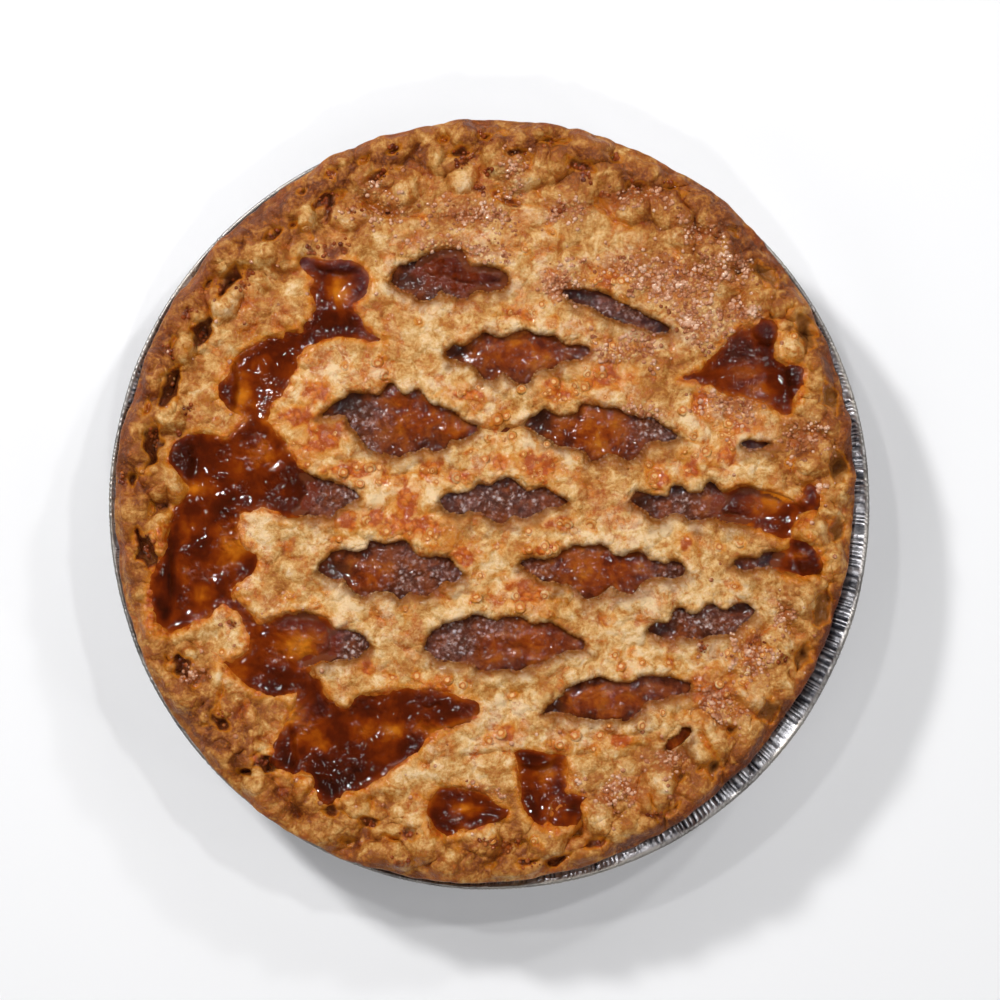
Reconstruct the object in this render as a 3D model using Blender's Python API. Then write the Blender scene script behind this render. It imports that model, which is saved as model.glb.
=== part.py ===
# Lattice apple pie in the foil pan it was baked in.
# Metres, +Z up. The origin is the middle of the pan's underside, and the pan's axis is Z.

import math

import bmesh
import bpy
from mathutils import Matrix, Vector
from mathutils.geometry import delaunay_2d_cdt

MM = 0.001
TAU = 2.0 * math.pi

# Driving dimensions
GAP = 0.3 * MM                     # room left between pieces that touch

PAN_FLOOR_RADIUS = 76.0 * MM
PAN_WALL_TOP_RADIUS = 92.6 * MM
PAN_WALL_TOP = 25.2 * MM           # height of the bend between the wall and the flange
PAN_RIM_RADIUS = 101.6 * MM        # outside of the rolled edge
PAN_RIM_HEIGHT = 29.4 * MM
PAN_RIM_OVAL = 0.5 * MM            # the thin rim is bent a little out of round
FOIL = 0.6 * MM                    # thicker than the real foil, which is about 0.1 mm
FLUTES = 64
FLUTE_DEPTH = 0.55 * MM
PAN_ROLL = 0.9 * MM                # radius of the rolled edge
PAN_BEND = 1.8 * MM                # radius between the floor and the wall

CRUST_RADIUS = 99.6 * MM           # mean radius of the crimped edge
CRUST_SHIFT = Vector((-1.1, 0.5)) * MM
CRUST_OVAL = 1.8 * MM
CRUST_OVAL_ANGLE = math.radians(71.0)
CRUST_THICKNESS = 3.5 * MM         # wall and floor of the shell
LIP_THICKNESS = 1.6 * MM
LIP_CLEARANCE = 0.9 * MM           # the flutes and the roll of the pan lie under the lip
LIP_UNDERCUT = 0.6 * MM
CRIMPS = 34
CRIMP_SLIP = (0.7, 0.3)            # radians of a crimp by which crimps run ahead, in 2 and in 7 waves
CRIMP_TOP = 37.0 * MM
CRIMP_LIFT = (0.6 * MM, 0.4 * MM)  # the ridge rises and falls in 5 and in 11 waves
EDGE_SWING = 0.5 * MM              # the outer edge follows the crimps a little
GROOVE_IN = 3.4 * MM               # distance in from the outer edge of the groove outside the ridge
GROOVE_SWING = 0.8 * MM
GROOVE_RISE = (2.3 * MM, 1.3 * MM) # its mean height over the pan's flange, and the change from crimp to crimp
RIDGE_IN = 8.3 * MM                # distance in of the middle of the ridge
RIDGE_SWING = 3.2 * MM             # how far the ridge snakes in and out
POCKET_IN = 13.2 * MM              # distance in of the pockets inside the ridge
POCKET_SWING = 1.2 * MM
POCKET_DEPTH = (3.0 * MM, 1.4 * MM)
CRIMP_WIDTH = 16.0 * MM            # distance in of the lattice

LATTICE_TOP = 36.2 * MM            # height of the lattice over the middle
LATTICE_FALL = 2.4 * MM            # how much lower it is where it meets the crimp
LATTICE_RADIUS = 83.0 * MM
LATTICE_THICKNESS = 3.3 * MM
LATTICE_WAVE = 0.5 * MM
LATTICE_WAVE_X = 9.0 * MM          # a wave's length over 2 pi
LATTICE_WAVE_Y = 7.0 * MM
EDGE_DROP = 0.8 * MM               # the dough rounds off at each opening
DOUGH_GRID = 8.5 * MM              # spacing of the points over the lattice

FILLING_SINK = 1.6 * MM            # the deepest hollows of the filling
FILLING_GRID = 7.5 * MM
LUMP_X = 4.7 * MM
LUMP_Y = 3.9 * MM
LUMP_SKEW = 11.0 * MM

SYRUP_CROWN = 1.0 * MM
SYRUP_GRID = 6.0 * MM

ROW_PITCH = 18.6 * MM              # openings lie in a brick pattern
HALF_COLUMN = 26.2 * MM
PATTERN_CENTRE = Vector((3.5, 1.0)) * MM
TOOTH_PITCH = 8.6 * MM             # the strands were cut with a zigzag roller
TOOTH_DEPTH = 2.3 * MM
OPENING_BLUNTNESS = 2.4            # 2 is an ellipse; more makes fuller ends

# row, half columns to the right, shift x, shift y, length, width (mm), tilt (degrees)
OPENINGS = (
    (3, 1, 4.0, -5.0, 28.0, 5.5, -17.0),
    (2, 0, 3.5, 0.5, 39.0, 11.5, 0.0),
    (1, -1, -0.5, 1.5, 37.0, 14.0, -8.0),
    (1, 1, -0.5, -1.0, 37.0, 12.5, -3.0),
    (0, -2, 5.5, 1.0, 22.0, 11.0, 0.0),
    (0, 0, 0.5, -0.5, 34.0, 9.0, 0.0),
    (0, 2, 0.0, -1.5, 38.0, 8.5, 0.0),
    (-1, -1, -3.0, -0.5, 37.5, 12.5, -3.0),
    (-1, 1, 1.0, -1.0, 39.0, 11.5, -2.0),
    (-1, 3, -14.0, 2.5, 13.0, 4.0, 8.0),
    (-2, 0, 0.0, -1.0, 41.0, 12.0, 0.0),
    (-2, 2, 0.0, 4.5, 29.0, 7.0, 9.0),
    (-3, 1, 4.0, 3.0, 39.5, 9.5, 8.0),
    (-3, 2, -6.5, -7.0, 9.0, 3.2, 30.0),
)

# Syrup that boiled up between the strands and set: outlines in mm, joined within one piece
SYRUP = {
    "syrup_left": (
        ((-48, 62), (-37, 64), (-31.5, 58), (-33, 49), (-27, 42.5), (-38, 42), (-46, 44), (-47, 54)),
        ((-42, 46), (-56, 44.5), (-66, 39), (-70.5, 32), (-70, 24), (-66, 14), (-60, 14), (-57, 27),
         (-50, 38)),
        ((-61, 20), (-71, 17), (-79, 17), (-80, 9), (-73, 0), (-59, -3), (-51, -4), (-47, 3), (-52, 12)),
        ((-72, 6), (-78, -4), (-79, -16), (-77, -26), (-71, -30), (-66, -27), (-61, -16), (-66, -8),
         (-66, 3)),
        ((-69, -26), (-64, -36), (-69, -44), (-58, -50), (-50, -47), (-38, -43), (-33, -37), (-45, -31),
         (-59, -32)),
        ((-50, -43), (-52, -54), (-56, -60), (-47, -67), (-35, -73), (-21, -67), (-5, -56), (-9, -51),
         (-24, -49.5), (-38, -54), (-46, -46)),
    ),
    "syrup_back": (((-25, 58), (-16, 64), (-7, 66), (2, 62), (3, 56), (-8, 54), (-18, 52.5)),),
    "syrup_right_back": (((51, 33), (60, 39), (66.5, 42), (72, 35.5), (73, 28), (68, 26), (60, 28)),),
    "syrup_right": (((65, 3), (73, 2), (77.5, -1), (76.5, -7), (70, -8), (64, -4.5)),),
    "syrup_right_front": (((71.5, -13), (76, -12), (76, -18), (71.5, -19)),),
    "syrup_front_left": (((-13, -76), (-5, -75), (0, -77.5), (-4, -80.5), (-12, -79.5)),),
    "syrup_front": (((8.5, -69), (13, -66), (20, -69), (21, -75), (18, -79), (11, -79)),),
}

RIM_STEPS = 4 * CRIMPS             # points round the crimped edge
SHELL_STEPS = RIM_STEPS // 2
PAN_STEPS = 2 * FLUTES


def crust_edge(angle):
    """Radius of the crust's outer edge, which is a slightly oval circle set off the pan's axis."""
    oval = CRUST_OVAL * math.cos(2.0 * (angle - CRUST_OVAL_ANGLE))
    shift = CRUST_SHIFT.x * math.cos(angle) + CRUST_SHIFT.y * math.sin(angle)
    return CRUST_RADIUS + oval + shift


def crimp(step):
    """Angle of a point of the uneven crimp, and its swing: 1 where pushed out, -1 where pressed in."""
    even = TAU * step / RIM_STEPS
    slip = CRIMP_SLIP[0] * math.cos(2.0 * even - 0.5) + CRIMP_SLIP[1] * math.sin(7.0 * even)
    return even + slip / CRIMPS, math.cos(0.5 * math.pi * step)


def lattice_top(x, y):
    fall = LATTICE_FALL * (x * x + y * y) / LATTICE_RADIUS**2
    wave = math.sin(x / LATTICE_WAVE_X + 1.3) * math.sin(y / LATTICE_WAVE_Y + 0.4)
    return LATTICE_TOP - fall + LATTICE_WAVE * wave


def lattice_under(x, y):
    fall = LATTICE_FALL * (x * x + y * y) / LATTICE_RADIUS**2
    return LATTICE_TOP - LATTICE_THICKNESS - fall


def flange_top(radius):
    """Height of the pan's flange at a radius."""
    slope = (PAN_RIM_HEIGHT - PAN_WALL_TOP) / (PAN_RIM_RADIUS - PAN_WALL_TOP_RADIUS)
    return PAN_WALL_TOP + slope * (min(radius, PAN_RIM_RADIUS) - PAN_WALL_TOP_RADIUS)


def polar(radius, angle, z):
    return Vector((radius * math.cos(angle), radius * math.sin(angle), z))


def opening_outline(number, row, half_columns, shift_x, shift_y, length, width, tilt):
    """A slit cut with a zigzag roller and pulled open: a pointed oval whose two edges zigzag."""
    place = Vector((HALF_COLUMN * half_columns + shift_x * MM, ROW_PITCH * row + shift_y * MM))
    teeth = max(1, round(length * MM / TOOTH_PITCH))
    steps = 2 * teeth
    turn = Matrix.Rotation(math.radians(tilt), 2)
    outline = []
    for side in (1.0, -1.0):
        for step in range(steps):
            u = side * (2.0 * step / steps - 1.0)
            swell = 0.5 * width * MM * (1.0 - abs(u) ** OPENING_BLUNTNESS)
            tooth = math.cos(math.pi * (teeth * (u + 1.0) + number))
            depth = min(0.5 * TOOTH_DEPTH, 0.25 * width * MM) * (1.0 - u**4)
            point = Vector((0.5 * length * MM * u, side * swell + depth * tooth))
            outline.append(PATTERN_CENTRE + place + turn @ point)
    outline.reverse()
    return outline


def smooth_outline(corners, cuts=2):
    """Closed curve through the corners, given in mm, with cuts points for each corner."""
    points = [Vector(corner) * MM for corner in corners]
    if sum(a.cross(b) for a, b in zip(points, points[1:] + points[:1])) < 0.0:
        points.reverse()
    outline = []
    for index, point in enumerate(points):
        before = points[index - 1]
        after = points[(index + 1) % len(points)]
        later = points[(index + 2) % len(points)]
        for cut in range(cuts):
            t = cut / cuts
            outline.append(0.5 * (2.0 * point + (after - before) * t
                                  + (2.0 * before - 5.0 * point + 4.0 * after - later) * t**2
                                  + (3.0 * point - before - 3.0 * after + later) * t**3))
    return outline


def inset(outline, distance):
    """The outline moved in by a distance along its own normals."""
    moved = []
    for index, point in enumerate(outline):
        along = (outline[(index + 1) % len(outline)] - outline[index - 1]).normalized()
        moved.append(point + distance * Vector((-along.y, along.x)))
    return moved


def boundary_loops(faces):
    """The closed loops of vertex numbers round a set of triangles."""
    edges = {(face[i], face[(i + 1) % 3]) for face in faces for i in range(3)}
    following = {a: b for a, b in edges if (b, a) not in edges}
    loops = []
    while following:
        start = min(following)
        loop = [start]
        nxt = following.pop(start)
        while nxt != start:
            loop.append(nxt)
            nxt = following.pop(nxt)
        loops.append(loop)
    return loops


def joined_outlines(outlines):
    """The outer outlines of overlapping outlines taken together."""
    points = [point for outline in outlines for point in outline]
    faces, first = [], 0
    for outline in outlines:
        faces.append(list(range(first, first + len(outline))))
        first += len(outline)
    found = delaunay_2d_cdt(points, [], faces, 0, 1e-7)
    inside = [face for face, owners in zip(found[2], found[5]) if owners]
    return [[found[0][index] for index in loop] for loop in boundary_loops(inside)]


def triangulate(outer, holes, loose):
    """Triangles between an outer outline and its holes, also using the loose points."""
    loops = [outer] + holes
    points = [point for loop in loops for point in loop]
    faces, first = [], 0
    for loop in loops:
        faces.append(list(range(first, first + len(loop))))
        first += len(loop)
    found = delaunay_2d_cdt(points + loose, [], faces, 0, 1e-7)
    kept = [face for face, owners in zip(found[2], found[5]) if list(owners) == [0]]
    places = [source[0] for source in found[3]]
    return points + loose, [[places[index] for index in face] for face in kept]


def is_inside(point, outline):
    inside = False
    for a, b in zip(outline, outline[1:] + outline[:1]):
        if (a.y > point.y) != (b.y > point.y):
            if point.x < a.x + (b.x - a.x) * (point.y - a.y) / (b.y - a.y):
                inside = not inside
    return inside


def grid_points(radius, spacing, outer, holes, clearance):
    """A triangular grid of points inside the outer outline and well clear of the holes."""
    loose = []
    rows = math.ceil(radius / spacing)
    for row in range(-rows, rows + 1):
        for column in range(-rows, rows + 1):
            point = Vector(((column + 0.5 * (row % 2)) * spacing, row * spacing * math.sqrt(0.75)))
            nearest = min((point - other).length for loop in [outer] + holes for other in loop)
            if nearest > clearance and is_inside(point, outer):
                if not any(is_inside(point, hole) for hole in holes):
                    loose.append(point)
    return loose


def ring(mesh, points):
    return [mesh.verts.new(point) for point in points]


def bridge(mesh, lower, upper):
    """Faces between two rings that run anticlockwise; the lower may have half as many points."""
    ratio = len(upper) // len(lower)
    for index in range(len(lower)):
        a, b = lower[index], lower[(index + 1) % len(lower)]
        c = [upper[(index * ratio + step) % len(upper)] for step in range(ratio + 1)]
        if ratio == 1:
            mesh.faces.new((a, b, c[1], c[0]))
        else:
            mesh.faces.new((a, c[1], c[0]))
            mesh.faces.new((a, b, c[1]))
            mesh.faces.new((b, c[2], c[1]))


def finish(mesh, name, material):
    """Makes one closed object of the mesh, its faces pointing out."""
    bmesh.ops.triangulate(mesh, faces=mesh.faces[:])
    bmesh.ops.recalc_face_normals(mesh, faces=mesh.faces[:])
    if mesh.calc_volume(signed=True) < 0.0:
        bmesh.ops.reverse_faces(mesh, faces=mesh.faces[:])
    data = bpy.data.meshes.new(name)
    mesh.to_mesh(data)
    mesh.free()
    data.materials.append(material)
    data.shade_smooth()
    data.set_sharp_from_angle(angle=math.radians(50.0))
    piece = bpy.data.objects.new(name, data)
    bpy.context.scene.collection.objects.link(piece)
    return piece


def material(name, colour, roughness, metallic=0.0):
    made = bpy.data.materials.new(name)
    made.use_nodes = True
    shader = made.node_tree.nodes["Principled BSDF"]
    shader.inputs["Base Color"].default_value = (*colour, 1.0)
    shader.inputs["Roughness"].default_value = roughness
    shader.inputs["Metallic"].default_value = metallic
    return made


def make_pan():
    """A turned profile, up the outside, over the rolled edge and down the inside, with fluted walls."""
    roll, bend = PAN_ROLL, PAN_BEND
    # Each point has a radius, a height, its share of the flute depth and the way the flutes push it.
    wall = Vector((PAN_WALL_TOP, PAN_FLOOR_RADIUS - PAN_WALL_TOP_RADIUS)).normalized()
    flange = Vector((PAN_RIM_HEIGHT - PAN_WALL_TOP, PAN_WALL_TOP_RADIUS - PAN_RIM_RADIUS)).normalized()
    top = (PAN_WALL_TOP_RADIUS, PAN_WALL_TOP)
    profile = (
        (PAN_FLOOR_RADIUS - bend, 0.0, 0.0, wall),
        (PAN_FLOOR_RADIUS + 0.3 * bend, 0.6 * bend, 0.4, wall),
        (top[0] + FOIL, top[1] - 0.4 * FOIL, 1.0, wall),
        (PAN_RIM_RADIUS - 1.5 * roll, PAN_RIM_HEIGHT - 1.4 * roll, 0.3, flange),
        (PAN_RIM_RADIUS, PAN_RIM_HEIGHT - roll, 0.0, flange),
        (PAN_RIM_RADIUS - roll, PAN_RIM_HEIGHT, 0.0, flange),
        (top[0], top[1] + 0.5 * FOIL, 1.0, wall),
        (PAN_FLOOR_RADIUS - 0.2 * bend, FOIL + 0.5 * bend, 0.4, wall),
        (PAN_FLOOR_RADIUS - 1.2 * bend, FOIL, 0.0, wall),
    )
    mesh = bmesh.new()
    rings = []
    for radius, height, share, push in profile:
        points = []
        for step in range(PAN_STEPS):
            angle = TAU * step / PAN_STEPS
            depth = FLUTE_DEPTH * share * (1.0 if step % 2 else -1.0)
            bent = -PAN_RIM_OVAL * math.cos(2.0 * angle) * height / PAN_RIM_HEIGHT
            points.append(polar(radius + bent + depth * push.x, angle, height + depth * push.y))
        rings.append(ring(mesh, points))
    for lower, upper in zip(rings, rings[1:]):
        bridge(mesh, lower, upper)
    mesh.faces.new(reversed(rings[0]))
    mesh.faces.new(rings[-1])
    return finish(mesh, "foil_pan", material("foil", (0.72, 0.72, 0.73), 0.28, 1.0))


def shell_profile(thickness):
    """Radii and heights of the shell's outside, or of its inside one thickness further in."""
    clear = GAP + FLUTE_DEPTH
    floor = FOIL + GAP + thickness
    return (
        (PAN_FLOOR_RADIUS - 2.6 * MM - 0.55 * thickness, floor),
        (PAN_FLOOR_RADIUS - 1.2 * clear - 0.9 * thickness, floor + 1.9 * MM),
        (PAN_WALL_TOP_RADIUS - 1.3 * (clear + thickness), PAN_WALL_TOP + 0.8 * clear + 0.4 * thickness),
    )


def make_crust(holes):
    """Shell, crimped edge and lattice are one piece of baked dough with a cavity for the filling."""
    mesh = bmesh.new()
    shell = [ring(mesh, [polar(radius, TAU * step / SHELL_STEPS, height) for step in range(SHELL_STEPS)])
             for radius, height in shell_profile(0.0)]
    mesh.faces.new(reversed(shell[0]))
    bridge(mesh, shell[0], shell[1])
    bridge(mesh, shell[1], shell[2])

    under, lip, groove, crest, inner, border = [], [], [], [], [], []
    for step in range(RIM_STEPS):
        angle, swing = crimp(step)
        edge = crust_edge(angle) + EDGE_SWING * swing
        bottom = flange_top(edge) + GAP + LIP_CLEARANCE
        ridge = CRIMP_TOP + CRIMP_LIFT[0] * math.sin(5.0 * angle) + CRIMP_LIFT[1] * math.sin(11.0 * angle)
        rise = GROOVE_RISE[0] + GROOVE_RISE[1] * swing
        depth = POCKET_DEPTH[0] + POCKET_DEPTH[1] * swing
        under.append(polar(edge - LIP_UNDERCUT, angle, bottom))
        lip.append(polar(edge, angle, bottom + LIP_THICKNESS))
        groove.append(polar(edge - GROOVE_IN + GROOVE_SWING * swing, angle, bottom + rise))
        crest.append(polar(edge - RIDGE_IN + RIDGE_SWING * swing, angle, ridge))
        inner.append(polar(edge - POCKET_IN + POCKET_SWING * swing, angle, ridge - depth))
        edge_point = polar(crust_edge(angle) - CRIMP_WIDTH, angle, 0.0)
        edge_point.z = lattice_top(edge_point.x, edge_point.y)
        border.append(edge_point)
    rows = [ring(mesh, points) for points in (under, lip, groove, crest, inner)]
    bridge(mesh, shell[2], rows[0])
    for lower, upper in zip(rows, rows[1:]):
        bridge(mesh, lower, upper)

    outline = [point.xy for point in border]
    loose = grid_points(LATTICE_RADIUS, DOUGH_GRID, outline, holes, 0.4 * DOUGH_GRID)
    rim_count = len(outline)
    points, faces = triangulate(outline, holes, loose)
    loose_start = len(points) - len(loose)
    top = []
    for index, point in enumerate(points):
        drop = EDGE_DROP if rim_count <= index < loose_start else 0.0
        top.append(mesh.verts.new((point.x, point.y, lattice_top(point.x, point.y) - drop)))
    for face in faces:
        mesh.faces.new([top[index] for index in face])
    bridge(mesh, rows[-1], top[:rim_count])

    points, faces = triangulate(outline, holes, [])
    below = [mesh.verts.new((point.x, point.y, lattice_under(point.x, point.y))) for point in points]
    for face in faces:
        mesh.faces.new([below[index] for index in reversed(face)])
    first = rim_count
    for hole in holes:
        size = len(hole)
        for index in range(size):
            a, b = first + index, first + (index + 1) % size
            mesh.faces.new((top[a], top[b], below[b], below[a]))
        first += size

    cavity = [ring(mesh, [polar(radius, TAU * step / SHELL_STEPS, height) for step in range(SHELL_STEPS)])
              for radius, height in shell_profile(CRUST_THICKNESS)]
    mesh.faces.new(cavity[0])
    bridge(mesh, cavity[0], cavity[1])
    bridge(mesh, cavity[1], cavity[2])
    bridge(mesh, cavity[2], below[:rim_count])
    return finish(mesh, "crust", material("baked_crust", (0.47, 0.23, 0.09), 0.6))


def make_filling():
    """Apple and syrup fill the cavity up to the lattice, lumpy where it shows through the openings."""
    mesh = bmesh.new()
    wall = []
    for (radius, height), rise in zip(shell_profile(CRUST_THICKNESS), (GAP, GAP, -2.0 * GAP)):
        wall.append(ring(mesh, [polar(radius - 2.0 * GAP, TAU * step / SHELL_STEPS, height + rise)
                                for step in range(SHELL_STEPS)]))
    mesh.faces.new(reversed(wall[0]))
    bridge(mesh, wall[0], wall[1])
    bridge(mesh, wall[1], wall[2])
    outline = []
    for step in range(SHELL_STEPS):
        angle = TAU * step / SHELL_STEPS
        outline.append(polar(crust_edge(angle) - CRIMP_WIDTH - 1.5 * MM, angle, 0.0).xy)
    loose = grid_points(LATTICE_RADIUS, FILLING_GRID, outline, [], 0.5 * FILLING_GRID)
    points, faces = triangulate(outline, [], loose)
    top = []
    for index, point in enumerate(points):
        lump = 0.5 + 0.5 * math.sin(point.x / LUMP_X) * math.cos(point.y / LUMP_Y + point.x / LUMP_SKEW)
        sunk = FILLING_SINK * lump if index >= SHELL_STEPS else GAP
        top.append(mesh.verts.new((point.x, point.y, lattice_under(point.x, point.y) - 2.0 * GAP - sunk)))
    for face in faces:
        mesh.faces.new([top[index] for index in face])
    bridge(mesh, wall[2], top[:SHELL_STEPS])
    return finish(mesh, "filling", material("apple_filling", (0.22, 0.055, 0.012), 0.25))


def make_syrup(name, outlines):
    """A pool of set syrup: flat below, domed above, and clear of the dough all round."""
    mesh = bmesh.new()
    for outline in joined_outlines([inset(line, GAP) for line in outlines]):
        loose = grid_points(LATTICE_RADIUS, SYRUP_GRID, outline, [], 0.5 * SYRUP_GRID)
        points, faces = triangulate(outline, [], loose)
        top, below = [], []
        for index, point in enumerate(points):
            crown = SYRUP_CROWN if index >= len(outline) else -EDGE_DROP
            top.append(mesh.verts.new((point.x, point.y, lattice_top(point.x, point.y) + crown)))
            below.append(mesh.verts.new((point.x, point.y, lattice_under(point.x, point.y))))
        for face in faces:
            mesh.faces.new([top[index] for index in face])
            mesh.faces.new([below[index] for index in reversed(face)])
        for index in range(len(outline)):
            a, b = index, (index + 1) % len(outline)
            mesh.faces.new((top[a], below[a], below[b], top[b]))
    return finish(mesh, name, material(name, (0.15, 0.02, 0.004), 0.12))


def main():
    for item in list(bpy.data.objects):
        bpy.data.objects.remove(item)
    pools = {name: [smooth_outline(line) for line in lines] for name, lines in SYRUP.items()}
    openings = [opening_outline(number, *opening) for number, opening in enumerate(OPENINGS)]
    holes = joined_outlines(openings + [line for lines in pools.values() for line in lines])
    make_pan()
    make_crust(holes)
    make_filling()
    for name, lines in pools.items():
        make_syrup(name, lines)


main()
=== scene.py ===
import itertools
import math

import bpy
import numpy as np
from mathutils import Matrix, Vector, kdtree
from mathutils.bvhtree import BVHTree
from mathutils.geometry import delaunay_2d_cdt


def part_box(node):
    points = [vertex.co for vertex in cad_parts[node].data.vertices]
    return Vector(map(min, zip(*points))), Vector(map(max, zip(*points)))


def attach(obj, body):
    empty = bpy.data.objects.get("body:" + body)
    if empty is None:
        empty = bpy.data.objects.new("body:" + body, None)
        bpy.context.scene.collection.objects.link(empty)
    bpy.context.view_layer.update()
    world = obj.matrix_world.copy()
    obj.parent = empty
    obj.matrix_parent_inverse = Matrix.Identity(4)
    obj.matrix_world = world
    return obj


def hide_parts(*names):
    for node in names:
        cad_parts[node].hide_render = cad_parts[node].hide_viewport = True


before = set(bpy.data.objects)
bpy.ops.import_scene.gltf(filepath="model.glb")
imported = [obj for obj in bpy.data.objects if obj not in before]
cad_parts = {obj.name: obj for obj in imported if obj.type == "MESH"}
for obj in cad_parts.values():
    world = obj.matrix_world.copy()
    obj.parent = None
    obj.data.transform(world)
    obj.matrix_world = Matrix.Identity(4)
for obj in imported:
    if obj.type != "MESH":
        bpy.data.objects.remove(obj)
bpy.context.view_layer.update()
mm = 0.001
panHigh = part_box("foil_pan")[1]
scene = bpy.context.scene
print("frame loaded:", len(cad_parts), "nodes")

# Small helpers for node trees


def setInputs(tree, node, inputs):
    for name, value in inputs.items():
        if isinstance(value, bpy.types.NodeSocket):
            tree.links.new(value, node.inputs[name])
        else:
            node.inputs[name].default_value = value


def addNode(tree, kind, inputs=None, **settings):
    node = tree.nodes.new(kind)
    for name, value in settings.items():
        setattr(node, name, value)
    setInputs(tree, node, inputs or {})
    return node


def calc(tree, operation, a, b=0.0, clamp=False):
    kind = "ShaderNodeMath"
    return addNode(tree, kind, {0: a, 1: b}, operation=operation, use_clamp=clamp).outputs[0]


def times(tree, a, b, clamp=False):
    return calc(tree, "MULTIPLY", a, b, clamp)


def most(tree, a, b):
    return calc(tree, "MAXIMUM", a, b)


def addUp(tree, start, *terms, clamp=False):
    # start plus each value times its weight, held between 0 and 1 at the end if it is clamped
    for number, (value, weight) in enumerate(terms):
        last = number == len(terms) - 1
        start = calc(tree, "ADD", start, times(tree, value, weight), clamp and last)
    return start


def vectorCalc(tree, operation, a, b):
    other = "Scale" if operation == "SCALE" else 1
    return addNode(tree, "ShaderNodeVectorMath", {0: a, other: b}, operation=operation).outputs[0]


def span(tree, value, low, high, outLow=0.0, outHigh=1.0, smooth=False):
    kind = "SMOOTHSTEP" if smooth else "LINEAR"
    inputs = {"Value": value, "From Min": low, "From Max": high, "To Min": outLow, "To Max": outHigh}
    return addNode(tree, "ShaderNodeMapRange", inputs, interpolation_type=kind).outputs["Result"]


def fullColour(colour):
    return (*colour, 1.0) if isinstance(colour, tuple) else colour


def mixColour(tree, factor, a, b):
    inputs = {0: factor, 6: fullColour(a), 7: fullColour(b)}
    return addNode(tree, "ShaderNodeMix", inputs, data_type="RGBA").outputs[2]


def painted(tree, colour, mask, strength, paint):
    return mixColour(tree, times(tree, mask, strength), colour, paint)


def colourRamp(tree, value, stops):
    node = addNode(tree, "ShaderNodeValToRGB", {"Fac": value})
    ramp = node.color_ramp
    for place, colour in stops[2:]:
        ramp.elements.new(place)
    for element, (place, colour) in zip(ramp.elements, stops):
        element.position = place
    for element, (place, colour) in zip(ramp.elements, stops):
        element.color = fullColour(colour)
    return node.outputs["Color"]


def attribute(tree, name):
    return addNode(tree, "ShaderNodeAttribute", attribute_name=name).outputs["Fac"]


def noiseAt(tree, place, scale, detail=4.0, roughness=0.55, warp=0.0):
    inputs = {"Vector": place, "Scale": scale, "Detail": detail, "Roughness": roughness, "Distortion": warp}
    return addNode(tree, "ShaderNodeTexNoise", inputs).outputs["Fac"]


def noiseAroundZero(tree, place, scale, detail, roughness, warp):
    return calc(tree, "SUBTRACT", noiseAt(tree, place, scale, detail, roughness, warp), 0.5)


def drift(tree, noise, amount):
    # sideways shifts of up to half the amount, from the colours of a noise
    return vectorCalc(tree, "SCALE", vectorCalc(tree, "SUBTRACT", noise, (0.5, 0.5, 0.5)), amount)


def bumped(tree, strength, distance, height):
    inputs = {"Strength": strength, "Distance": distance, "Height": height}
    return addNode(tree, "ShaderNodeBump", inputs).outputs[0]


def newMaterial(name):
    made = bpy.data.materials.new(name)
    made.use_nodes = True
    tree = made.node_tree
    place = addNode(tree, "ShaderNodeTexCoord").outputs["Object"]
    return made, tree, tree.nodes["Principled BSDF"], place


def geometryTree(name, inputs):
    # takes a geometry and the named inputs, and gives a geometry
    tree = bpy.data.node_groups.new(name, "GeometryNodeTree")
    for label, kind in {"Geometry": "Geometry", **inputs}.items():
        tree.interface.new_socket(label, in_out="INPUT", socket_type="NodeSocket" + kind)
    tree.interface.new_socket("Geometry", in_out="OUTPUT", socket_type="NodeSocketGeometry")
    return tree, addNode(tree, "NodeGroupInput").outputs


def storedValue(tree, name, kind="FLOAT"):
    return addNode(tree, "GeometryNodeInputNamedAttribute", {"Name": name}, data_type=kind).outputs[0]


def finishTree(tree, geometry, offset, material):
    # moves the points, makes instances real and sets the material
    moved = addNode(tree, "GeometryNodeSetPosition", {"Geometry": geometry, "Offset": offset})
    real = addNode(tree, "GeometryNodeRealizeInstances", {"Geometry": moved.outputs[0]})
    done = addNode(tree, "GeometryNodeSetMaterial", {"Geometry": real.outputs[0], "Material": material})
    addNode(tree, "NodeGroupOutput", {"Geometry": done.outputs[0]})
    return tree


# Noise on arrays of points

noiseDraws = np.random.default_rng(11)
noiseOrder = noiseDraws.permutation(256)
noiseSlopes = noiseDraws.normal(size=(256, 3))
noiseSlopes /= np.linalg.norm(noiseSlopes, axis=1)[:, None]
noiseSpots = noiseDraws.random((256, 3))


def cellNumber(cell):
    order = noiseOrder
    return order[(order[(order[cell[:, 0] & 255] + cell[:, 1]) & 255] + cell[:, 2]) & 255]


def smoothNoise(points, size, seed=0.0):
    spots = points / size + np.array((31.7, 17.3, 9.1)) * seed
    cell = np.floor(spots).astype(int)
    inside = spots - cell
    fade = inside**3 * (inside * (inside * 6.0 - 15.0) + 10.0)
    total = np.zeros(len(points))
    for corner in itertools.product((0, 1), repeat=3):
        weight = np.prod(np.where(corner, fade, 1.0 - fade), axis=1)
        slope = noiseSlopes[cellNumber(cell + corner)]
        total += weight * np.einsum("ij,ij->i", slope, inside - corner)
    return 1.7 * total


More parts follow.
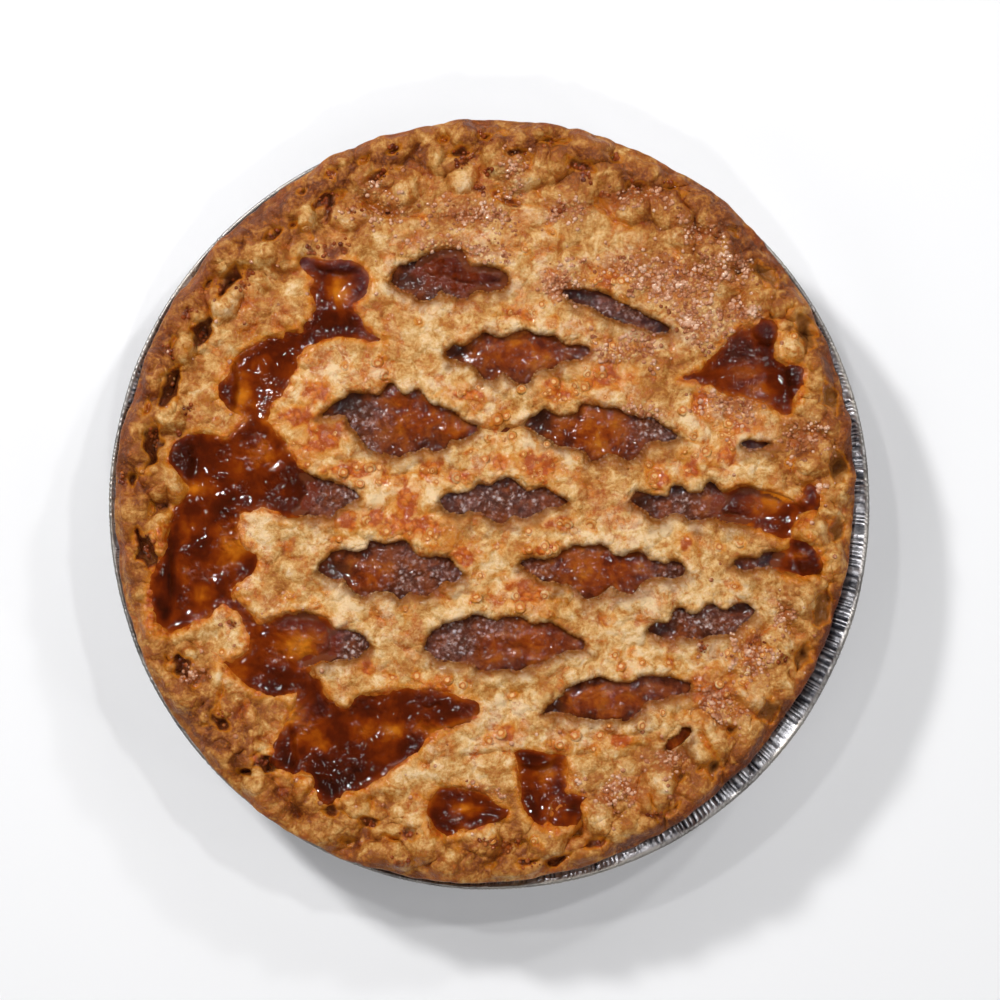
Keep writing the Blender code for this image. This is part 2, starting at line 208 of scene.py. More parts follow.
def lumps(points, size, seed=0.0, stretch=1.0):
    # rounded lumps that meet in narrow creases: about 1 on top of a lump, 0 and below in a crease
    spots = points[:, :2] / size * (1.0, stretch) + 13.3 * seed
    cell = np.floor(spots).astype(int)
    best = np.full(len(points), -1.0)
    for step in itertools.product((-1, 0, 1), repeat=2):
        near = np.column_stack([cell + step, np.full(len(points), int(seed))])
        draw = noiseSpots[cellNumber(near)]
        away = np.linalg.norm(near[:, :2] + 0.15 + 0.7 * draw[:, :2] - spots, axis=1)
        radius = 0.62 + 0.5 * draw[:, 2]
        best = np.maximum(best, (0.75 + 0.4 * draw[:, 2]) * (1.0 - (away / radius) ** 2))
    return best


def smoothStep(low, high, value):
    t = np.clip((value - low) / (high - low), 0.0, 1.0)
    return t * t * (3.0 - 2.0 * t)


# Outlines and meshes


def resample(curve, spacing):
    closed = np.vstack([curve, curve[:1]])
    length = np.concatenate([[0.0], np.cumsum(np.linalg.norm(np.diff(closed, axis=0), axis=1))])
    stops = np.linspace(0.0, length[-1], max(8, round(length[-1] / spacing)), endpoint=False)
    return np.column_stack([np.interp(stops, length, closed[:, axis]) for axis in (0, 1)])


def outlineNormals(outline):
    along = np.roll(outline, -1, 0) - np.roll(outline, 1, 0)
    along /= np.linalg.norm(along, axis=1)[:, None]
    return np.column_stack([along[:, 1], -along[:, 0]])


def flat3(points, height=0.0):
    return np.column_stack([points[:, :2], np.full(len(points), height)])


def polar(radius, angle, height):
    return np.column_stack([radius * np.cos(angle), radius * np.sin(angle), height * np.ones(len(angle))])


def closedCurve(corners, spacing, ragged=0.0, seed=0.0):
    corners = np.array(corners, float) * mm
    following = np.roll(corners, -1, 0)
    if np.sum(corners[:, 0] * following[:, 1] - corners[:, 1] * following[:, 0]) < 0.0:
        corners = corners[::-1]
    before, after, later = np.roll(corners, 1, 0), np.roll(corners, -1, 0), np.roll(corners, -2, 0)
    pieces = []
    for t in np.linspace(0.0, 1.0, 12, endpoint=False):
        pieces.append(0.5 * (2.0 * corners + (after - before) * t
                             + (2.0 * before - 5.0 * corners + 4.0 * after - later) * t**2
                             + (3.0 * corners - before - 3.0 * after + later) * t**3))
    curve = resample(np.stack(pieces, axis=1).reshape(-1, 2), spacing)
    if ragged:
        spots = flat3(curve)
        push = ragged * (smoothNoise(spots, 2.3 * mm, seed) + 0.4 * smoothNoise(spots, 1.0 * mm, seed))
        curve = resample(curve + outlineNormals(curve) * push[:, None], spacing)
    return curve


def isInside(points, outline):
    x, y = points[:, 0], points[:, 1]
    low, high = outline.min(0), outline.max(0)
    near = np.nonzero((x > low[0]) & (x < high[0]) & (y > low[1]) & (y < high[1]))[0]
    px, py = x[near], y[near]
    flips = np.zeros(len(near), bool)
    for (ax, ay), (bx, by) in zip(outline, np.roll(outline, -1, 0)):
        if ay != by:
            flips ^= ((ay > py) != (by > py)) & (px < ax + (bx - ax) * (py - ay) / (by - ay))
    inside = np.zeros(len(points), bool)
    inside[near] = flips
    return inside


def nearestSpots(points, spots):
    # how far the nearest spot is from each point, and how far back it lies
    tree = kdtree.KDTree(len(spots))
    for index, spot in enumerate(spots):
        tree.insert((spot[0], spot[1], 0.0), index)
    tree.balance()
    found = [tree.find((x, y, 0.0)) for x, y in points[:, :2]]
    distance = np.array([spot[2] for spot in found])
    return distance, np.array([spot[0].y for spot in found]) - points[:, 1]


def outlineSpots(outlines):
    return np.vstack([resample(outline, 0.15 * mm) for outline in outlines])


def distanceTo(points, outlines):
    return nearestSpots(points, outlineSpots(outlines))[0]


def nearestEdge(points, outlines):
    # distance to the nearest outline, and 1 where that spot lies behind the point, -1 where in front
    distance, behind = nearestSpots(points, outlineSpots(outlines))
    return distance, behind / np.maximum(distance, 1e-6)


def outInOval(points, x, y, sizeX, sizeY):
    # 0 in the middle of an oval given in mm, 1 on its edge
    return np.hypot((points[:, 0] / mm - x) / sizeX, (points[:, 1] / mm - y) / sizeY)


def hexGrid(radius, spacing):
    rows = int(radius / spacing / math.sqrt(0.75)) + 1
    row, column = np.meshgrid(np.arange(-rows, rows + 1), np.arange(-rows, rows + 1), indexing="ij")
    x = (column + 0.5 * (row % 2)) * spacing
    y = row * spacing * math.sqrt(0.75)
    grid = np.column_stack([x.ravel(), y.ravel()])
    return grid[np.hypot(grid[:, 0], grid[:, 1]) < radius]


def numbered(loops):
    # the places of each loop's points when the loops are put one after another
    ends = np.cumsum([len(loop) for loop in loops])
    return [list(range(end - len(loop), end)) for loop, end in zip(loops, ends)]


def triangulated(points, faces):
    return delaunay_2d_cdt([Vector(point) for point in points], [], faces, 0, 1e-8)


def strip(upper, lower):
    # triangles between two closed rows of points
    a, b, c, d = upper, np.roll(upper, -1), lower, np.roll(lower, -1)
    return [np.column_stack([a, b, d]), np.column_stack([a, d, c])]


def fillBetween(outer, holes, loose):
    loops = [outer, *holes]
    points = np.vstack([*loops, loose])
    found = triangulated(points, numbered(loops))
    # where outlines cross, the triangulation adds a point of its own
    places, added = [], []
    for spot, source in zip(found[0], found[3]):
        places.append(source[0] if source else len(points) + len(added))
        if not source:
            added.append(tuple(spot))
    if added:
        points = np.vstack([points, added])
    kept = [face for face, owners in zip(found[2], found[5]) if list(owners) == [0]]
    return points, np.array(places)[np.array(kept)]


def joinedOutlines(outlines):
    found = triangulated(np.vstack(outlines), numbered(outlines))
    inside = [face for face, owners in zip(found[2], found[5]) if owners]
    edges = {(face[i], face[(i + 1) % 3]) for face in inside for i in range(3)}
    following = {a: b for a, b in edges if (b, a) not in edges}
    loops = []
    while following:
        start = min(following)
        loop, after = [start], following.pop(start)
        while after != start:
            loop.append(after)
            after = following.pop(after)
        loops.append(np.array([found[0][index][:] for index in loop]))
    return loops


def newPiece(name, points, faces, material, attributes=None):
    points, faces = np.asarray(points, float), np.asarray(faces)
    used = np.unique(faces)
    places = np.zeros(len(points), int)
    places[used] = np.arange(len(used))
    mesh = bpy.data.meshes.new(name)
    mesh.from_pydata(points[used].tolist(), [], places[faces].tolist())
    for label, values in (attributes or {}).items():
        layer = mesh.attributes.new(label, "FLOAT", "POINT")
        layer.data.foreach_set("value", np.asarray(values, np.float32)[used])
    mesh.materials.append(material)
    mesh.shade_smooth()
    piece = bpy.data.objects.new(name, mesh)
    scene.collection.objects.link(piece)
    return piece


def applyNodes(target, tree, settings):
    modifier = target.modifiers.new(tree.name, "NODES")
    modifier.node_group = tree
    for item in tree.interface.items_tree:
        if item.item_type == "SOCKET" and item.in_out == "INPUT" and item.name in settings:
            modifier[item.identifier] = settings[item.name]
    graph = bpy.context.evaluated_depsgraph_get()
    shaped = target.evaluated_get(graph)
    target.data = bpy.data.meshes.new_from_object(shaped, preserve_all_data_layers=True, depsgraph=graph)
    target.modifiers.remove(modifier)
    return target


# The shape of the dough

crustShape = {
    "edgeRadius": 99.6 * mm, "edgeShift": (-1.1 * mm, 1.1 * mm), "edgeOval": 2.2 * mm,
    "edgeOvalAngle": math.radians(71.0), "crimps": 34, "latticeTop": 36.2 * mm, "latticeFall": 2.4 * mm,
    "latticeRadius": 83.0 * mm, "borderIn": 16.0 * mm, "thickness": 5.6 * mm,
    "roundBehind": 1.4 * mm, "roundInFront": 3.0 * mm,
}
# Where the pan's flange starts and ends, in mm
flange = {"innerRadius": 92.6, "innerTop": 25.2, "outerRadius": 101.6, "outerTop": 29.4}

# Places where the filling shows, in mm
openings = {
    "backLeft": (
        (-26, 59), (-24, 62.5), (-20.5, 64), (-15.5, 66), (-11.5, 67), (-7.5, 66.5), (-5, 62.5), (-1, 62.5),
        (3, 61.5), (5, 59), (3.5, 56.5), (0, 55.5), (-3, 56), (-7, 54), (-11, 55), (-13, 56), (-15.5, 53.5),
        (-18.5, 53.5), (-21.5, 56), (-24, 57),
    ),
    "backRight": (
        (19.5, 56), (22.5, 56.5), (26.5, 56), (30.5, 55.5), (34.5, 53), (39.5, 50.5), (45, 48), (48, 46),
        (46, 45), (42, 45.5), (38, 47), (34.5, 48), (30.5, 49.5), (26.5, 52), (22.5, 53),
    ),
    "second": (
        (-11.5, 39.5), (-9, 41.5), (-6.5, 41), (-4, 43), (-1, 44.5), (3, 43), (6, 44.5), (9.5, 45.5),
        (13.5, 44), (16.5, 44), (18.5, 42.5), (21, 41.5), (24.5, 41.5), (26.5, 40), (23, 37.5), (19, 37),
        (16.5, 35), (13.5, 35.5), (10.5, 31.5), (8, 31), (5.5, 32.5), (3.5, 34.5), (1.5, 32.5), (-1, 32),
        (-3, 35), (-5.5, 36.5), (-9, 37.5),
    ),
    "thirdLeft": (
        (-44, 23), (-39.5, 26.5), (-36.5, 28.5), (-32.5, 28.5), (-29, 28.5), (-26.5, 31), (-24.5, 30),
        (-22, 28), (-19, 29.5), (-17, 27.5), (-15, 25.5), (-11.5, 24.5), (-9, 23.5), (-6.5, 21),
        (-3.5, 19.5), (-5, 17), (-7.5, 16.5), (-10.5, 16), (-11.5, 14), (-14.5, 13), (-17, 14), (-20.5, 13),
        (-23.5, 12), (-26.5, 12.5), (-30, 13), (-33.5, 16), (-36, 19), (-38, 22.5), (-40.5, 23),
    ),
    "thirdRight": (
        (10, 21), (12.5, 23), (14.5, 24.5), (17, 23), (20, 22.5), (22.5, 23), (24.5, 25.5), (27.5, 25),
        (30.5, 24.5), (33, 25), (35.5, 23.5), (38, 22.5), (41, 22), (43.5, 22), (45.5, 20.5), (48, 18.5),
        (50, 17.5), (48, 16), (43.5, 16), (41, 14.5), (39, 12), (36.5, 10.5), (34.5, 11.5), (31.5, 12.5),
        (29, 11), (27, 11), (25, 13), (22.5, 14.5), (18.5, 14.5), (16, 16), (12.5, 18),
    ),
    "fourthLeft": (
        (-50, 8), (-45, 6), (-40.5, 4.5), (-37, 3.5), (-34.5, 1), (-36.5, -0.5), (-40, -2), (-42, -4),
        (-45, -3.5), (-50, -4), (-53, -2), (-54, 2.5), (-53, 6.5),
    ),
    "fourthMid": (
        (-13, 0), (-10.5, 2), (-7, 2), (-5, 2.5), (-3, 4.5), (-0.5, 4), (2, 5), (5, 6), (7.5, 4.5),
        (10, 2.5), (13.5, 3.5), (16.5, 2.5), (19, 1), (21, -0.5), (18, -1.5), (14.5, -2), (12, -3.5),
        (9, -4.5), (6, -4), (3.5, -6), (1, -5), (-2, -3), (-5, -3), (-8.5, -3.5), (-11, -2.5),
    ),
    "fourthRight": (
        (37.5, 0), (39, 2.5), (41.5, 2), (45, 1.5), (47, 1.5), (48.5, 4), (51, 4), (53, 2), (55.5, 2.5),
        (57.5, 4.5), (59, 5), (61, 2.5), (64, 2), (68, 3.5), (72.5, 2), (77, 1), (77.5, -1), (75, -3),
        (69.5, -5.5), (66, -6), (62, -5), (59, -4), (56.5, -4.5), (55, -5), (52.5, -4.5), (51, -3.5),
        (48, -3), (46, -4.5), (43.5, -4.5), (41, -2.5), (39, -1),
    ),
    "fifthLeft": (
        (-45, -18), (-42.5, -14.5), (-39.5, -13), (-35.5, -13.5), (-32.5, -13), (-31, -10.5), (-27.5, -11.5),
        (-23.5, -10.5), (-21, -11.5), (-19, -14.5), (-15.5, -15), (-11.5, -15), (-9, -17), (-7, -19.5),
        (-9, -21), (-11.5, -21), (-14, -23), (-16, -25), (-19, -24), (-21.5, -24), (-23.5, -26), (-26, -24),
        (-29.5, -24), (-33.5, -25), (-36.5, -23), (-38.5, -20.5), (-42, -20),
    ),
    "fifthMid": (
        (8, -16.5), (10.5, -15), (14.5, -15.5), (17.5, -15), (20, -13), (23, -12), (26, -12), (29.5, -11.5),
        (32, -13.5), (35, -14.5), (37.5, -13.5), (40.5, -14), (42.5, -15.5), (45.5, -16.5), (48, -16),
        (50.5, -16.5), (51.5, -18.5), (48.5, -20.5), (45, -20), (41.5, -20.5), (39.5, -22.5), (37.5, -24.5),
        (35, -24), (32, -22.5), (30, -24), (27.5, -25.5), (25, -25.5), (23, -23.5), (20.5, -22),
        (17.5, -21.5), (14.5, -21), (12, -19.5), (10, -18),
    ),
    "fifthRight": (
        (64.5, -16), (67, -15), (70.5, -15), (72.5, -13.5), (75.5, -13.5), (78, -14), (78.5, -17), (75, -17),
        (73, -17), (70.5, -17.5), (67, -18),
    ),
    "sixthLeft": (
        (-60, -34.5), (-56.5, -32), (-52.5, -30.5), (-48.5, -29.5), (-45, -30.5), (-42, -33.5), (-38, -34),
        (-34, -35), (-31.5, -38), (-34, -40.5), (-38, -41.5), (-42, -42), (-46, -42.5), (-50, -44),
        (-53.5, -43), (-57.5, -40.5), (-60, -38),
    ),
    "sixthMid": (
        (-17, -38), (-15, -35), (-11.5, -32.5), (-7.5, -31.5), (-4, -30), (-0.5, -31), (2, -31.5),
        (5, -30.5), (8, -30.5), (10.5, -32.5), (14, -32), (17, -32.5), (20, -34.5), (24, -36.5), (24.5, -39),
        (20.5, -39.5), (17, -40.5), (14.5, -42.5), (11, -43), (8, -44.5), (5, -44), (1.5, -44.5),
        (-2.5, -44), (-5.5, -42), (-9, -42), (-13, -41.5), (-15.5, -40),
    ),
    "sixthRight": (
        (42, -34), (44.5, -32), (47, -32), (48.5, -29), (51, -28.5), (53, -30), (55.5, -29), (57.5, -27.5),
        (59.5, -27.5), (62, -29), (64.5, -27.5), (67, -27), (70, -28.5), (69, -30.5), (66.5, -32),
        (64.5, -34.5), (61.5, -35), (58.5, -35), (56, -36.5), (53.5, -36), (50.5, -35.5), (47.5, -36.5),
        (44.5, -35.5),
    ),
    "seventh": (
        (14, -56), (16, -53.5), (19, -51.5), (21, -49), (24.5, -47.5), (28.5, -46.5), (32, -47), (36.5, -48),
        (39.5, -46.5), (43.5, -46), (47.5, -46.5), (50.5, -47.5), (53, -48), (52, -50.5), (48.5, -51),
        (45.5, -52), (41.5, -53), (39.5, -55), (37, -57), (33, -57), (29.5, -57.5), (26.5, -57), (23, -57),
        (20, -55.5), (17, -55.5),
    ),
    "small": (
        (46, -65), (47, -63), (49, -61.5), (51, -60), (53, -60), (53, -62), (51.5, -63.5), (50, -65),
        (48, -66),
    ),
    "slitRight": (
        (66.5, 15.2), (68.5, 16.2), (71, 15.9), (74.5, 15.6), (72.5, 14.6), (70.5, 14.2), (68.5, 14.4),
    ),
}

# Narrow folds and cracks in the dough: two ends, width and depth, in mm
folds = (
    (-5, 19.3, 3, 18.6, 0.9, 2.6), (3, 18.6, 11, 20.2, 0.9, 2.6), (-6.5, -67, 3, -65.6, 0.7, 2.0),
    (3, -65.6, 14.5, -67.5, 0.8, 2.2), (14.5, -67.5, 26, -66.5, 0.9, 2.6), (53.5, 29, 56.5, 24.5, 0.8, 2.2),
    (-33, 79.5, -25, 75.5, 1.3, 2.6), (-25, 75.5, -18, 77, 0.9, 1.8), (2, 82, 8, 78.5, 1.4, 2.8),
    (8, 78.5, 15, 78, 0.9, 1.8), (29, 80, 33, 75, 1.3, 2.8), (33, 75, 38, 73, 0.9, 1.6),
    (54, 62, 58, 58.5, 1.1, 2.2), (-4, 73, 2, 67, 0.7, 1.4), (2, 67, 8, 67.5, 0.7, 1.4),
    (22, 65, 27, 62, 0.7, 1.4), (9, 87, 15, 80, 0.5, 1.2), (-29, 84, -24, 80.5, 0.5, 1.0),
    (-84, 12, -80, 2, 0.7, 1.6), (-70, -46, -72, -58, 1.1, 2.2), (-31, -78, -31, -85, 1.0, 2.2),
    (55, -61, 61, -70, 1.0, 2.2), (42, -77, 44, -84, 0.8, 1.8), (63, 40, 70, 38, 0.6, 1.4),
    (76, 12, 79, 4, 1.1, 1.0), (-56, 47, -52, 44, 0.8, 1.8), (-42, -79, -36, -83, 0.6, 1.4),
    (24, -59, 34, -62, 0.6, 1.2), (34, -62, 45, -60, 0.6, 1.2), (10, -79, 14, -86, 1.0, 2.0),
    (-20, 10, -23, 4, 1.0, 1.0), (-66, 45, -60, 47.5, 1.0, 2.2), (27, 14, 30, 4, 1.3, 1.0),
)

# Deep pockets in the crimped rim: angle, radius in mm, half length along the rim, half width, depth
pockets = (
    (140, 90.5, 4.2, 2.0, 4.2), (149.7, 88.2, 5.2, 2.0, 4.8), (160.5, 89.6, 5.6, 2.0, 4.8),
    (170.5, 90.2, 5.2, 2.1, 5.0), (188, 91.2, 4.8, 2.4, 5.0), (198, 90.5, 3.0, 1.5, 3.2),
    (208, 91.6, 3.6, 2.3, 4.4), (219.4, 91.0, 3.6, 1.7, 3.8), (229.6, 90.2, 3.0, 2.0, 4.2),
    (249.4, 90.0, 3.2, 1.6, 2.6), (256.4, 89.4, 3.0, 1.8, 2.6), (94.8, 93.2, 3.4, 1.6, 3.0),
    (85.9, 93.4, 4.0, 1.5, 2.8), (75, 92.5, 4.6, 1.6, 2.8), (64.5, 92.6, 4.0, 1.7, 2.6),
    (108.5, 91.6, 3.6, 1.7, 2.6), (118.5, 91.4, 3.8, 1.7, 3.2), (129, 91.0, 3.2, 1.5, 2.6),
    (39.7, 94.8, 4.2, 2.0, 4.0), (28.3, 95.2, 5.2, 2.4, 4.6), (17.3, 94.2, 4.0, 2.1, 4.2),
    (5.7, 92.4, 3.6, 2.8, 4.8), (-4.5, 92.2, 3.0, 2.5, 4.4), (-17.9, 92.2, 4.4, 2.3, 4.4),
    (-26.2, 91.8, 3.2, 2.2, 4.0), (-37, 91.6, 3.2, 2.4, 4.2), (-50, 91.2, 3.0, 2.0, 3.6),
    (-73, 93.8, 3.4, 1.4, 2.6), (-84.3, 95.0, 3.4, 1.4, 2.6), (60.2, 97.3, 2.6, 1.5, 2.2),
    (70.1, 97.8, 2.2, 1.7, 2.6), (80.6, 97.4, 2.4, 1.6, 2.4), (90.7, 97.4, 2.2, 1.6, 2.4),
    (105, 97.2, 2.2, 1.6, 2.4), (115.8, 96.8, 2.4, 1.6, 2.2),
)


def crustEdge(angle):
    shape = crustShape
    oval = shape["edgeOval"] * np.cos(2.0 * (angle - shape["edgeOvalAngle"]))
    shift = shape["edgeShift"][0] * np.cos(angle) + shape["edgeShift"][1] * np.sin(angle)
    return shape["edgeRadius"] + oval + shift


def doughLevel(points):
    shape = crustShape
    x, y = points[:, 0], points[:, 1]
    fall = shape["latticeFall"] * (x * x + y * y) / shape["latticeRadius"] ** 2
    wave = 0.5 * mm * np.sin(x / (9.0 * mm) + 1.3) * np.sin(y / (7.0 * mm) + 0.4)
    return shape["latticeTop"] - fall + wave


def flangeTop(radius):
    slope = (flange["outerTop"] - flange["innerTop"]) / (flange["outerRadius"] - flange["innerRadius"])
    away = np.minimum(radius, flange["outerRadius"] * mm) - flange["innerRadius"] * mm
    return flange["innerTop"] * mm + slope * away


# Noise that runs across the rim is read on a ring of this radius
pleatRadius = 95.0 * mm


def doughLumps(points, rimShare):
    # lumps of baked dough, from a few centimetres across down to coarse grains, and thin cracks
    warp = np.column_stack([smoothNoise(points, 4.5 * mm, seed) for seed in (1.0, 2.0)])
    twist = np.column_stack([smoothNoise(points, 2.0 * mm, seed) for seed in (2.5, 2.7)])
    bent = points[:, :2] + 2.1 * mm * warp + 0.5 * mm * twist
    creased = np.column_stack([bent, np.zeros(len(points))])
    uneven = 0.4 + smoothStep(-0.25, 0.35, smoothNoise(points, 11.0 * mm, 3.0))
    large = 0.8 * smoothNoise(points, 14.0 * mm, 4.0)
    pillows = 1.5 * (lumps(bent, 7.5 * mm, 5.0, 1.3) - 0.5) + 0.7 * (lumps(bent, 3.9 * mm, 6.0, 1.2) - 0.5)
    angle, reach = np.arctan2(bent[:, 1], bent[:, 0]), np.hypot(bent[:, 0], bent[:, 1])
    pleated = polar(pleatRadius, angle, 0.4 * reach)
    ridges = 1.2 * smoothNoise(pleated, 5.2 * mm, 16.0) + 0.55 * smoothNoise(pleated, 2.3 * mm, 20.0)
    ridges -= 1.0 * (np.abs(smoothNoise(creased, 6.0 * mm, 17.0)) - 0.25)
    grains = 0.27 * (1.0 - 0.65 * rimShare) * uneven
    small = grains * (lumps(bent, 2.0 * mm, 7.0) - 0.5) + 0.17 * smoothNoise(points, 1.4 * mm, 8.0)
    small += 0.14 * rimShare * smoothNoise(pleated, 0.9 * mm, 18.0)
    seam = smoothNoise(points, 9.0 * mm, 10.0) + 0.2 * smoothNoise(points, 2.0 * mm, 11.0)
    opened = smoothStep(0.0, 0.35, smoothNoise(points, 7.0 * mm, 12.0)) * (0.4 + 0.8 * rimShare)
    cracks = 0.4 * opened * np.exp(-((seam / 0.08) ** 2))
    return mm * (large + pillows * (1.0 - 0.78 * rimShare) + ridges * rimShare + small - cracks)


def carved(points):
    # depth taken out of the dough by folds and pockets
    x, y = points[:, 0], points[:, 1]
    wobble = 0.6 * mm * smoothNoise(points, 4.0 * mm, 9.0)
    depth = np.zeros(len(points))
    for ax, ay, bx, by, width, deep in folds:
        ax, ay, bx, by = ax * mm, ay * mm, bx * mm, by * mm
        length2 = (bx - ax) ** 2 + (by - ay) ** 2
        t = np.clip(((x - ax) * (bx - ax) + (y - ay) * (by - ay)) / length2, 0.0, 1.0)
        off = np.hypot(x - ax - t * (bx - ax), y - ay - t * (by - ay)) + wobble
        depth = np.maximum(depth, 0.65 * deep * mm * np.exp(-((off / (1.3 * width * mm)) ** 2)))
    ragged = 1.0 + 0.8 * smoothNoise(points, 2.6 * mm, 19.0)
    for angle, radius, along, across, deep in (*pockets, *pinches):
        turn = math.radians(angle)
        dx, dy = x - radius * mm * math.cos(turn), y - radius * mm * math.sin(turn)
        a = (dy * math.cos(turn) - dx * math.sin(turn) + wobble) / (along * mm)
        bend = 1.6 * wobble + 0.25 * a * abs(a) * mm
        b = (dx * math.cos(turn) + dy * math.sin(turn) + bend) / (across * mm)
        depth = np.maximum(depth, 0.9 * deep * mm * np.exp(-((a * a + b * b) * ragged) ** 1.3))
    return depth


# Pinched lobes of the rim, in three rows: how far in from the edge, half sizes along and across the rim,
# height of the top, how far it falls at that size, place within a crimp, and how much the lobes turn
lobeRows = {
    "outer": {"in": 5.4, "along": 8.6, "across": 4.2, "top": 36.4, "drop": 2.2, "phase": 0.0, "tilt": 0.4},
    "inner": {"in": 10.4, "along": 7.4, "across": 4.6, "top": 36.9, "drop": 2.4, "phase": 0.5, "tilt": 0.7},
    "third": {"in": 15.0, "along": 6.6, "across": 4.2, "top": 36.2, "drop": 2.0, "phase": 0.05, "tilt": 0.6},
}
# Height of the rim's top at these distances in from the edge, in mm
rimLevels = ((0.0, 31.2), (0.9, 31.7), (2.2, 32.5), (3.6, 34.0), (5.0, 34.7), (9.0, 35.0), (12.5, 35.2))
# Pinches beside the lobes of a row: depth and how far in from the edge, in mm
pinchRows = {"outer": (1.6, 9.6), "inner": (2.4, 4.6)}
rimSeed = 17


def crimpPhase(angle):
    crimps = crustShape["crimps"]
    return (crimps * angle - 0.7 * np.cos(2.0 * angle - 0.5) - 0.3 * np.sin(7.0 * angle)) / (2.0 * math.pi)


def rimLobes():
    # each lobe: place, turn, half sizes, top and drop, in metres; each pinch: as a pocket
    found, pinches = [], []
    rimDraws = np.random.default_rng(rimSeed)
    finely = np.linspace(0.0, 2.0 * math.pi, 4001)
    for name, row in lobeRows.items():
        for number in range(crustShape["crimps"]):
            shift = rimDraws.normal(size=6)
            phase = number + row["phase"] + 0.07 * shift[0]
            turn = float(np.interp(phase, crimpPhase(finely), finely))
            away = crustEdge(turn) - (row["in"] + 0.6 * shift[1]) * mm
            top = row["top"] + (0.3 if name == "third" else 0.5) * shift[2]
            if name == "third":
                top -= 1.3 * (1.0 - math.exp(-((abs((math.degrees(turn) - 85.0)) / 55.0) ** 4)))
            found.append((away * math.cos(turn), away * math.sin(turn),
                          turn + row["tilt"] * max(-1.3, min(1.3, shift[3])),
                          row["along"] * (1.0 + 0.15 * shift[4]) * mm,
                          row["across"] * (1.0 + 0.17 * shift[5]) * mm, top * mm, row["drop"] * mm))
            if name in pinchRows:
                deep, inward = pinchRows[name]
                pinches.append((math.degrees(turn), crustEdge(turn) / mm - inward + 0.5 * shift[4],
                                2.2 + 0.4 * shift[2], 1.4 + 0.2 * shift[5],
                                deep * max(0.2, 0.8 + 0.35 * shift[3])))
    return found, pinches


lobes, pinches = rimLobes()


def doughHeight(points):
    # top of the dough before openings and syrup: level, pinched lobes, lumps and pockets
    spots = flat3(points)
    angle = np.arctan2(points[:, 1], points[:, 0])
    inward = (crustEdge(angle) - np.hypot(points[:, 0], points[:, 1])) / mm
    level = doughLevel(points)
    stops, heights = zip(*rimLevels)
    rimLevel = np.interp(inward, stops, heights) * mm
    height = rimLevel + (level - rimLevel) * smoothStep(10.5, 16.0, inward)
    warp = np.column_stack([smoothNoise(spots, 5.5 * mm, seed) for seed in (14.0, 15.0)])
    bent = points[:, :2] + 1.5 * mm * warp
    for x, y, turn, alongSize, acrossSize, top, drop in lobes:
        dx, dy = bent[:, 0] - x, bent[:, 1] - y
        near = np.nonzero(np.abs(dx) + np.abs(dy) < 3.0 * alongSize)[0]
        a = (dy[near] * math.cos(turn) - dx[near] * math.sin(turn)) / alongSize
        b = (dx[near] * math.cos(turn) + dy[near] * math.sin(turn)) / acrossSize
        height[near] = np.maximum(height[near], top - drop * (a * a + b * b) ** 1.15)
    lumpShare = smoothStep(0.2, 3.5, inward) * 0.8 + 0.2
    rimShare = smoothStep(20.0, 13.0, inward)
    return height + doughLumps(spots, rimShare) * lumpShare - carved(spots) * smoothStep(0.4, 2.0, inward)


openingCurves = [closedCurve(corners, 0.4 * mm, 0.5 * mm, seed)
                 for seed, corners in enumerate(openings.values())]


def edgeRounding(distance, behind):
    # how far the top surface drops towards the cut edge of an opening, with a little swelling behind it
    low, high = crustShape["roundBehind"], crustShape["roundInFront"]
    reach = low + (high - low) * smoothStep(-0.3, 0.6, behind)
    t = np.clip(1.0 - distance / reach, 0.0, 0.93)
    drop = 0.85 * reach * (1.0 - np.sqrt(1.0 - t * t))
    swell = 0.35 * mm * np.exp(-(((distance - 2.4 * mm) / (1.5 * mm)) ** 2))
    return swell - drop


# Syrup outlines, needed by the dough because it is sunk beneath the syrup

